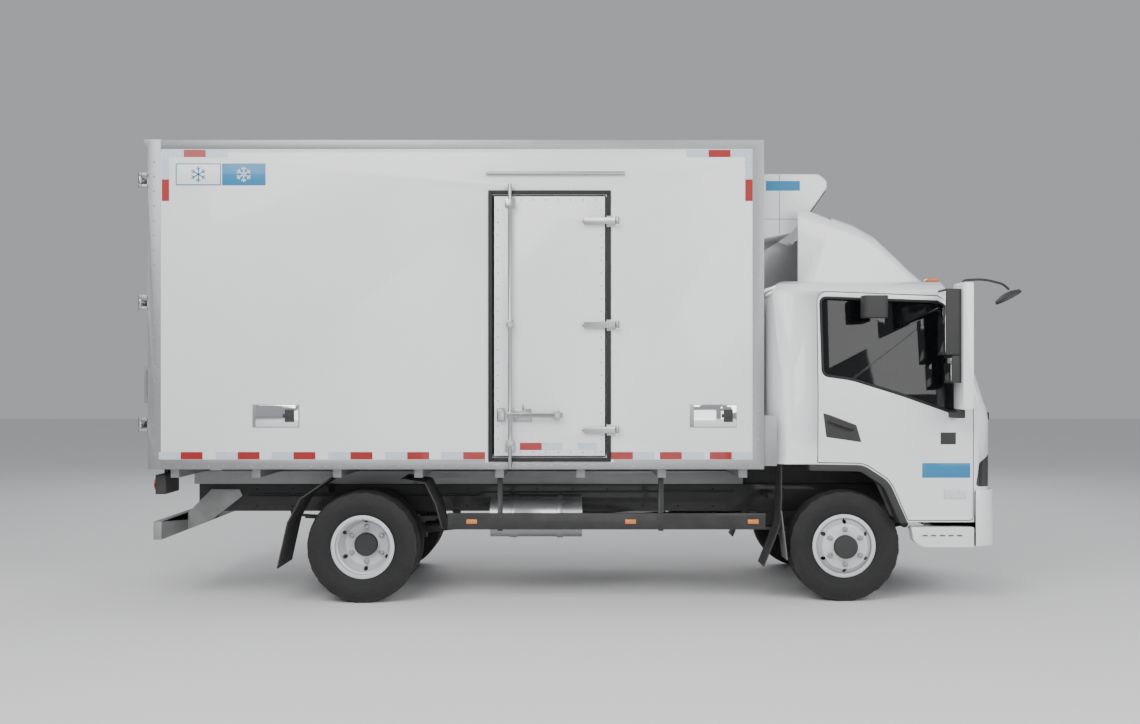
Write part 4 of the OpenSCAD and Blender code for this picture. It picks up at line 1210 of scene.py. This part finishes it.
@dataclass
class Cab:
    """Details on the tilting cab.

    Attributes:
        nose: Where the front face is at the middle.
        arc: The front face's plan radius.
        lean: How far the windscreen leans back, in degrees.
        screen: A point on the windscreen's face at the middle, as X and Z.
        widths: Heights with the half width of the cab's sides there.
        window: The side window's outline on X and Z.
    """

    nose: float = 1095
    arc: float = 5000
    lean: float = 18
    screen: tuple[float, float] = (1043, 1473)
    widths: tuple = ((540, 985), (1150, 1000), (1450, 1000), (2240, 925))
    window: tuple = ((-165, 1583), (30, 1556), (400, 1440), (745, 1318), (792, 1420), (706, 2092),
                     (-172, 2124))

    def front(self, y: float, z: float) -> float:
        """Gives where the front face is at a width and height."""
        x = self.nose - y * y / (2 * self.arc)
        slope = math.tan(math.radians(self.lean))
        top = self.screen[1] - (self.nose - self.screen[0]) / slope
        return x if z < top else x - (z - top) * slope

    def half(self, z: float) -> float:
        """Gives the half width at a height."""
        for (z0, w0), (z1, w1) in zip(self.widths, self.widths[1:]):
            if z <= z1:
                return w0 + (w1 - w0) * (max(z, z0) - z0) / (z1 - z0)
        return self.widths[-1][1]

    def band(self, y0: float, y1: float, z0: float, z1: float, back: float, out: float,
             bevel: float = 1.5, steps: int = 12) -> bpy.types.Object:
        """Makes a band that follows the front face.

        Args:
            y0: Its right end.
            y1: Its left end.
            z0: Its bottom.
            z1: Its top.
            back: How far it goes into the face.
            out: How far it stands out.
            bevel: Its edges' bevel.
            steps: Its steps across.

        Returns:
            The band.
        """
        across = [y0 + (y1 - y0) * k / steps for k in range(steps + 1)]
        points = [(self.front(y, 1000) + out, y) for y in across]
        points += [(self.front(y, 1000) - back, y) for y in reversed(across)]
        return Shop.outline("band", points, "Z", z0, z1, bevel)

    def strip(self, x0: float, x1: float, z0: float, z1: float, out: float, side: int = -1,
              bevel: float = 0.6) -> bpy.types.Object:
        """Makes a flat strip that follows the cab's side.

        Args:
            x0: Its rear end.
            x1: Its front end.
            z0: Its bottom.
            z1: Its top.
            out: How far it stands out.
            side: 1 for the left side and -1 for the right.
            bevel: Its edges' bevel.

        Returns:
            The strip.
        """
        points = [(side * (self.half(z0) - 1), z0), (side * (self.half(z0) + out), z0),
                  (side * (self.half(z1) + out), z1), (side * (self.half(z1) - 1), z1)]
        return Shop.outline("strip", points, "X", x0, x1, bevel)

    def face(self) -> None:
        """Adds the grille, cowl, wipers, plate and lamps in front."""
        Shop.group([self.band(-560, 560, 846, 1010, 4, 3, 4)], "grille_recess", BLACK_PLASTIC, "cab")
        slats = [self.band(-545, 545, 862 + 38 * k, 880 + 38 * k, 2, 12, 3) for k in range(4)]
        Shop.group(slats, "grille_slats", BLACK_PLASTIC, "cab")
        Shop.group([self.band(-550, 550, 1030, 1062, 2, 7, 3)], "nose_trim", CHROME, "cab")
        Shop.group([self.band(-880, 880, 1268, 1322, 2, 5, 2)], "screen_cowl", BLACK_PLASTIC, "cab")
        wipers = []
        for y0, y1 in ((-640, -60), (60, 660)):
            points = [(self.front(y0, 1322) + 8, y0, 1322), (self.front(y0, 1345) + 16, y0 + 30, 1345),
                      (self.front((y0 + y1) / 2, 1372) + 15, (y0 + y1) / 2, 1372),
                      (self.front(y1, 1392) + 15, y1, 1392)]
            wipers.append(Shop.tube("w", points, 6))
            blade = [(self.front(y0 + t * (y1 - y0), 1350 + 52 * t) + 9, y0 + t * (y1 - y0), 1350 + 52 * t)
                     for t in (0.15, 0.5, 1.0)]
            wipers.append(Shop.tube("w", blade, 4))
        Shop.group(wipers, "wipers", BLACK_PLASTIC, "cab")
        plate = Shop.block("front_plate", (self.nose + 33, -170, 470), (self.nose + 38, 170, 580), 3, 2)
        Shop.dress(plate, WHITE_TAPE)
        Shop.group([self.band(-470, 470, 600, 700, -20, 37, 4)], "bumper_opening", BLACK_PLASTIC)
        for side in Side:
            s, tag = side.value, side.name.lower()
            fog = Shop.turned(f"fog_lamp_{tag}", (self.front(620, 600) + 24, s * 620, 560), Vector((1, 0, 0)),
                              [(0, 46), (14, 46), (18, 38), (20, 20), (20, 0)], 32, 1)
            Shop.dress(fog, CLEAR_LENS)
            for k, (y, z, r, finish) in enumerate(((735, 930, 62, CLEAR_LENS), (880, 935, 40, AMBER_LENS))):
                dome = [(0, r), (22, r), (30, r * 0.8), (34, r * 0.4), (34, 0)]
                lamp = Shop.turned(f"head_lens_{tag}_{k}", (self.front(y, 930) - 92 - 50 * k, s * y, z),
                                   Vector((1, 0, 0)), dome, 32, 1)
                Shop.dress(lamp, finish, "cab")

    def door(self, side: Side) -> None:
        """Adds what is on one cab door.

        Args:
            side: The door's side.
        """
        s, tag = side.value, side.name.lower()
        body = f"cab_door_{tag}"
        w = self.half(1200)
        outline = [(-166, 1320), (-117, 1306), (63, 1237), (98, 1119), (-145, 1154)]
        recess = Shop.outline(f"handle_recess_{tag}", outline[::-1] if s > 0 else outline, "Y",
                              s * (w - 2), s * (w + 2), 1.2)
        grip = Shop.tube(f"handle_grip_{tag}", [(-128, s * w, 1266), (-110, s * (w + 24), 1262),
                                                (20, s * (w + 24), 1216), (38, s * w, 1209)], 10)
        for piece in (recess, grip):
            Shop.dress(piece, BLACK_PLASTIC, body)
        Shop.group([self.strip(520, 853, 872, 974, 1.2, s)], f"door_stripe_{tag}", BLUE, body)
        Shop.group([self.strip(646, 752, 1104, 1186, 2.2, s)], f"door_badge_{tag}", BLACK_PLASTIC, body)
        Shop.group([self.strip(673, 825, 727, 792, 9, s, 5)], f"side_turn_{tag}", CLEAR_LENS, body)
        bead = [(x, s * (self.half(z) - 3), z) for x, z in self.window]
        start = tuple((a + b) / 2 for a, b in zip(bead[0], bead[-1]))
        ring = Shop.tube(f"window_rubber_{tag}", [start, *bead, start], 11, 4)
        Shop.dress(ring, SEAL, body)

    def roof(self) -> None:
        """Adds roof marker lamps, step treads and the front wheels' flaps."""
        for side in Side:
            s, tag = side.value, side.name.lower()
            lamp = Shop.block(f"roof_marker_{tag}", (628, s * 690 - 45, 2252), (720, s * 690 + 45, 2276),
                              12, 3)
            Shop.dress(lamp, AMBER_LENS, "cab")
            treads = [Shop.block("t", (520 + 60 * k, s * 1001 - 8, 470), (556 + 60 * k, s * 1001, 476), 1.5)
                      for k in range(5)]
            Shop.group(treads, f"step_treads_{tag}", BLACK_PLASTIC)
            flap = Shop.outline(f"front_flap_{tag}", [(-455, 640), (-449, 642), (-408, 300), (-414, 298)],
                                "Y", s * 760, s * 985, 0.8)
            Shop.dress(flap, FLAP)

    def build(self) -> None:
        """Builds the cab's details."""
        self.face()
        for side in Side:
            self.door(side)
        self.roof()
        LOG.info("cab details")


@dataclass
class Mirrors:
    """Covers, glasses and the look-down mirror."""

    def build(self) -> None:
        """Builds the mirrors' details."""
        for side in Side:
            tag = side.name.lower()
            body = f"cab_door_{tag}"
            profile = [(712, 2206), (778, 2206), (784, 2190), (784, 1372), (777, 1350), (712, 1350)]
            cover = Shop.outline(f"mirror_cover_{tag}", profile, "Y", *span(side, 1075, 1293), 8)
            Shop.dress(cover, CAB_PAINT, body)
            for k, (x, inner, outer, z0, z1) in enumerate((
                    (600, 1098, 1270, 1735, 2146), (640, 1102, 1264, 1545, 1698))):
                low, high = span(side, inner, outer)
                glass = Shop.block(f"mirror_glass_{tag}_{k}", (x - 3, low, z0), (x + 2, high, z1))
                Shop.dress(glass, CHROME, body)
        arm = Shop.tube("lookdown_arm", [(736, -1150, 2190), (760, -1150, 2228), (900, -1140, 2236),
                                         (1040, -1110, 2205), (1085, -1095, 2170)], 8, 8)
        Shop.dress(arm, BLACK_PLASTIC, "cab_door_right")
        head = Shop.turned("lookdown_head", (1080, -1095, 2118), Vector((0.55, 0, -1)),
                           [(-30, 0), (-28, 40), (-12, 88), (8, 96), (10, 90), (10, 0)], 36, 1)
        Shop.dress(head, BLACK_PLASTIC, "cab_door_right")
        LOG.info("mirrors")


@dataclass
class Interior:
    """Seat cushions, dash and wheel parts inside the cab.

    Attributes:
        seats: Each seat's right and left edge.
        seat_x: Where the seats stand.
        tilt: How far the steering wheel leans, in degrees.
    """

    seats: tuple = ((235, 745), (-745, -300), (-290, 150))
    seat_x: float = -40
    tilt: float = 32

    def cushion(self, name: str, profile: Sequence[Point], y0: float, y1: float,
                crown: float) -> bpy.types.Object:
        """Makes one padded cushion with a crowned surface and sewn channels.

        Args:
            name: The cushion's name.
            profile: Its outline on X and Z.
            y0: Its right end.
            y1: Its left end.
            crown: How far its middle swells.

        Returns:
            The cushion.
        """
        piece = Shop.outline(name, profile, "Y", y0, y1)
        Shop.modify(piece, "BEVEL", width=24 * MM, segments=3, limit_method="ANGLE",
                    angle_limit=math.radians(50))
        Shop.modify(piece, "REMESH", mode="VOXEL", voxel_size=0.009)
        xs = [p[0] for p in profile]
        zs = [p[1] for p in profile]
        middle = at((min(xs) + max(xs)) / 2, (y0 + y1) / 2, (min(zs) + max(zs)) / 2)
        half = Vector(((max(xs) - min(xs)) / 2, (y1 - y0) / 2, (max(zs) - min(zs)) / 2)) * MM
        flat = min(range(3), key=lambda i: half[i])
        for vertex in piece.data.vertices:
            away = vertex.co - middle
            fall = 1.0
            for i in range(3):
                if i != flat:
                    fall *= max(0.0, 1 - (away[i] / half[i]) ** 2)
            panel = 0.5 + 0.5 * math.cos(away[1] / half[1] * math.pi * 3)
            up = math.copysign(1, away[flat])
            vertex.co[flat] += up * (fall ** 0.6 * crown - panel * fall ** 0.3 * 3.5) * MM
        Shop.modify(piece, "SMOOTH", factor=0.5, iterations=4)
        Shop.only(piece)
        bpy.ops.object.shade_smooth()
        return piece

    def build(self) -> None:
        """Builds the inside of the cab."""
        x = self.seat_x
        made = []
        for k, (y0, y1) in enumerate(self.seats):
            base = Shop.outline(f"seat_base_{k}", [(x - 200, 1016), (x + 210, 1016), (x + 238, 1189),
                                                   (x - 228, 1189)], "Y", y0 + 32, y1 - 32, 6)
            Shop.dress(base, DASH, "cab")
            made.append(base)
            parts = {
                "cushion": ([(x - 256, 1196), (x + 276, 1196), (x + 282, 1316), (x - 262, 1304)], 8),
                "back": ([(x - 260, 1322), (x - 172, 1322), (x - 256, 1872), (x - 338, 1872)], 7)}
            for part, (profile, crown) in parts.items():
                piece = self.cushion(f"seat_{part}_{k}", profile, y0 + 8, y1 - 8, crown)
                Shop.dress(piece, CLOTH, "cab")
                made.append(piece)
        for piece in made:
            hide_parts("seats")
        cluster = Shop.block("cluster_hood", (642, 300, 1382), (740, 660, 1432), 22, 3)
        Shop.dress(cluster, DASH, "cab")
        screen = Shop.block("dash_screen", (640, -110, 1215), (653, 110, 1345), 6, 2)
        Shop.dress(screen, LAMP_GLASS, "cab")
        vents = [Shop.block("v", (642, y + 9 * k, 1262), (656, y + 9 * k + 4, 1322), 1)
                 for y in (-640, -220, 170, 620) for k in range(8)]
        Shop.group(vents, "dash_vents", BLACK_PLASTIC, "cab")
        tilt = math.radians(self.tilt)
        boss = Shop.turned("steering_boss", (480, 480, 1545), Vector((-math.sin(tilt), 0, math.cos(tilt))),
                           [(4, 66), (18, 62), (26, 40), (28, 0)], 32, 2)
        Shop.dress(boss, DASH, "steering_wheel")
        lever = Shop.tube("gear_lever", [(500, 60, 1016), (470, 60, 1180), (455, 60, 1290)], 9)
        knob = Shop.turned("gear_knob", (452, 60, 1290), Vector((-0.1, 0, 1)),
                           [(-8, 12), (0, 20), (22, 25), (38, 17), (42, 0)], 24)
        for piece in (lever, knob):
            Shop.dress(piece, BLACK_PLASTIC, "cab")
        LOG.info("interior")


@dataclass
class Wheels:
    """Tyres with tread, rims, nuts and caps.

    Attributes:
        radius: The tyres' radius.
        width: A tyre's width.
        steps: The tyres' steps in a turn.
    """

    radius: float = TYRE_RADIUS
    width: float = 200
    steps: int = 96

    def tyre(self, name: str, x: float, y: float) -> bpy.types.Object:
        """Makes a tyre with zigzag grooves and side-wall ribs.

        Args:
            name: Its name.
            x: Its axle.
            y: Its middle.

        Returns:
            The tyre.
        """
        half = self.width / 2
        outer = [(-half + 14, 379), (-half + 22, 385)]
        for groove in (-52, -18, 18, 52):
            outer += [(groove - 6, 387.4), (groove - 4, 376), (groove + 4, 376), (groove + 6, 387.4)]
        outer += [(half - 22, 385), (half - 14, 379)]
        wall = [(half - 12, 366), (half - 8, 352), (half - 2, 330), (half, 305), (half - 3, 280),
                (half - 8, 262), (half - 8, 258), (half - 13, 240), (half - 18, 228),
                (76, 223.5), (70.5, 222.3), (68, 204)]
        left = [(-a, r) for a, r in reversed(wall)]
        piece = Shop.turned(name, (x, y, self.radius), Vector((0, 1, 0)), left + outer + wall, self.steps)
        centre = at(x, y, self.radius)
        for vertex in piece.data.vertices:
            away = vertex.co - centre
            reach = math.hypot(away.x, away.z)
            turn = round(math.atan2(away.z, away.x) / (2 * math.pi / self.steps))
            if reach > 0.375 and abs(away.y) < 0.07:
                vertex.co.y += 0.004 * (1 if turn % 2 else -1)
            elif 0.363 < reach < 0.3865 and abs(away.y) > 0.07 and turn % 4 < 2:
                vertex.co -= Vector((away.x, 0, away.z)).normalized() * 0.005
        return Shop.soften(piece, 0, angle=32)

    def nuts(self, name: str, x: float, y: float, out: int, high: float) -> bpy.types.Object:
        """Makes six wheel nuts on studs round a hub.

        Args:
            name: Their name.
            x: The axle.
            y: The face that they sit on.
            out: 1 where that face looks left, -1 where it looks right.
            high: How far they stand out.

        Returns:
            The nuts.
        """
        face = Vector((0, out, 0))
        start = (x + 122, y, self.radius)
        nut = Shop.turned("n", start, face, [
            (0, 22), (5, 22), (5.5, 18), (high - 3, 18), (high, 15), (high, 0)], 6, 0.8)
        stud = Shop.turned("s", start, face, [
            (high - 1, 8), (high + 9, 8), (high + 11, 6.5), (high + 11, 0)], 16, 0.5)
        pattern = Shop.join([nut, stud], "nut")
        return Shop.repeat(pattern, [about_y(x, self.radius, 60 * k + 30) for k in range(6)], name)

    def build(self) -> None:
        """Builds all the wheels."""
        rubber = {x: TyreRubber(f"tyre_rubber_{where}", (0, 0, 0), "tyre", axle_x=x)
                  for where, x in (("front", 0), ("rear", REAR_AXLE))}
        for side in Side:
            s, tag = side.value, side.name.lower()
            for where, x, rims, middles, face, cap in (
                    ("front", 0, "rim_front", (825,), 930, 975),
                    ("rear", REAR_AXLE, "rims_rear", (665, 895), 792, 837)):
                many = "s" if len(middles) > 1 else ""
                body, node = f"wheel{many}_{where}_{tag}", f"tyre{many}_{where}_{tag}"
                for k, y in enumerate(middles):
                    tyre = self.tyre(f"tyre_{where}_{tag}_{k}", x, s * y)
                    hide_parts(node)
                    Shop.dress(tyre, rubber[x], body)
                rim = Shop.of_node(f"{rims}_{tag}", f"{rims}_{tag}_piece", 1.2, 30)
                Shop.dress(rim, WHEEL_SILVER, body)
                nuts = self.nuts(f"nuts_{where}_{tag}", x, s * face, s, 22)
                Shop.dress(nuts, STAINLESS, body)
                hub = Shop.turned(f"hub_cap_{where}_{tag}", (x, s * cap, self.radius), Vector((0, s, 0)),
                                  [(-38, 82), (-6, 82), (1, 77), (3, 60), (3, 0)], 48, 0.8)
                Shop.dress(hub, BLACK_PLASTIC, body)
                lip = s * (middles[-1] + 58)
                valve = Shop.tube(f"valve_{where}_{tag}", [(x, lip - s * 6, self.radius + 192),
                                                           (x, lip + s * 12, self.radius + 186)], 4)
                Shop.dress(valve, BLACK_PLASTIC, body)
        LOG.info("wheels")


@dataclass
class Chassis:
    """Straps, pipes, markers and fixings under the box."""

    def clamps(self) -> None:
        """Adds the U-bolts that hold the springs on the axles."""
        bolts = []
        for x, y, z0, z1 in ((0, 430, 250, 520), (REAR_AXLE, 475, 320, 560)):
            for dx in (-58, 58):
                bolts.append(Shop.tube("u", [(x + dx, y - 42, z0), (x + dx, y - 42, z1), (x + dx, y + 42, z1),
                                             (x + dx, y + 42, z0)], 7))
        pair = Shop.join(bolts, "spring_bolts_left")
        Shop.dress(Shop.mirrored(pair, "spring_bolts_right"), STAINLESS)
        Shop.dress(pair, STAINLESS)

    def rails(self) -> None:
        """Adds rivets, pipes and side markers along the frame."""
        rivet = Shop.turned("r", (0, -390, 0), Vector((0, -1, 0)), [(0, 9), (4, 8), (7, 4), (7, 0)], 8)
        moves = [shift(x, 0, z) for x in range(-4500, 800, 260) for z in (612, 742)]
        row = Shop.repeat(rivet, moves, "frame_rivets_right")
        Shop.dress(Shop.mirrored(row, "frame_rivets_left"), FRAME_BLACK)
        Shop.dress(row, FRAME_BLACK)
        pipes = [Shop.tube("p", [(-4300, -398 - 9 * k, 690 + 12 * k), (-2600, -398 - 9 * k, 690 + 12 * k),
                                 (-2560, -398 - 9 * k, 720), (-700, -398 - 9 * k, 720 + 12 * k)], 5)
                 for k in range(2)]
        Shop.group(pipes, "brake_pipes", BLACK_PLASTIC)
        for s, tag in ((-1, "right"), (1, "left")):
            for k, x in enumerate((-2600, -1500, -650)):
                marker = Shop.block(f"side_marker_{tag}_{k}", (x - 38, s * 994 - 5, 552),
                                    (x + 38, s * 994 + 5, 584), 4)
                Shop.dress(marker, AMBER_LENS)

    def tanks(self) -> None:
        """Adds straps, caps and handles on the silencer, tank and battery box."""
        hoop = [(-16, 144), (-16, 147), (16, 147), (16, 144)]
        bands = [Shop.turned("b", (x, -640, 565), Vector((1, 0, 0)), hoop, 48) for x in (-2340, -2000)]
        Shop.group(bands, "silencer_bands", STAINLESS)
        straps = []
        for x in (-1880, -1320):
            straps += [Shop.block("s", (x - 22, 448, 818), (x + 22, 862, 823), 1.5),
                       Shop.block("s", (x - 22, 858, 428), (x + 22, 863, 823), 1.5)]
        Shop.group(straps, "tank_straps", STAINLESS)
        cap = Shop.turned("fuel_cap", (-1600, 858, 740), Vector((0, 1, 0)),
                          [(0, 44), (22, 44), (28, 38), (28, 0)], 32, 1.5)
        Shop.dress(cap, BLACK_PLASTIC)
        handles = [Shop.tube("h", [(x - 50, 816, 690), (x - 50, 836, 690), (x + 50, 836, 690),
                                   (x + 50, 816, 690)], 6) for x in (-950, -760)]
        Shop.group(handles, "battery_handles", STAINLESS)

    def build(self) -> None:
        """Builds the chassis's details."""
        self.clamps()
        self.rails()
        self.tanks()
        LOG.info("chassis details")


def main() -> None:
    """Builds the looks of the truck."""
    logging.basicConfig(level=logging.INFO, format="%(message)s")
    for assembly in (Stage(), PlainNodes(), LoadBox(), Doors(), CoolingUnit(), Cab(), Mirrors(), Interior(),
                     Wheels(), Chassis()):
        assembly.build()


if __name__ == "__main__":
    main()
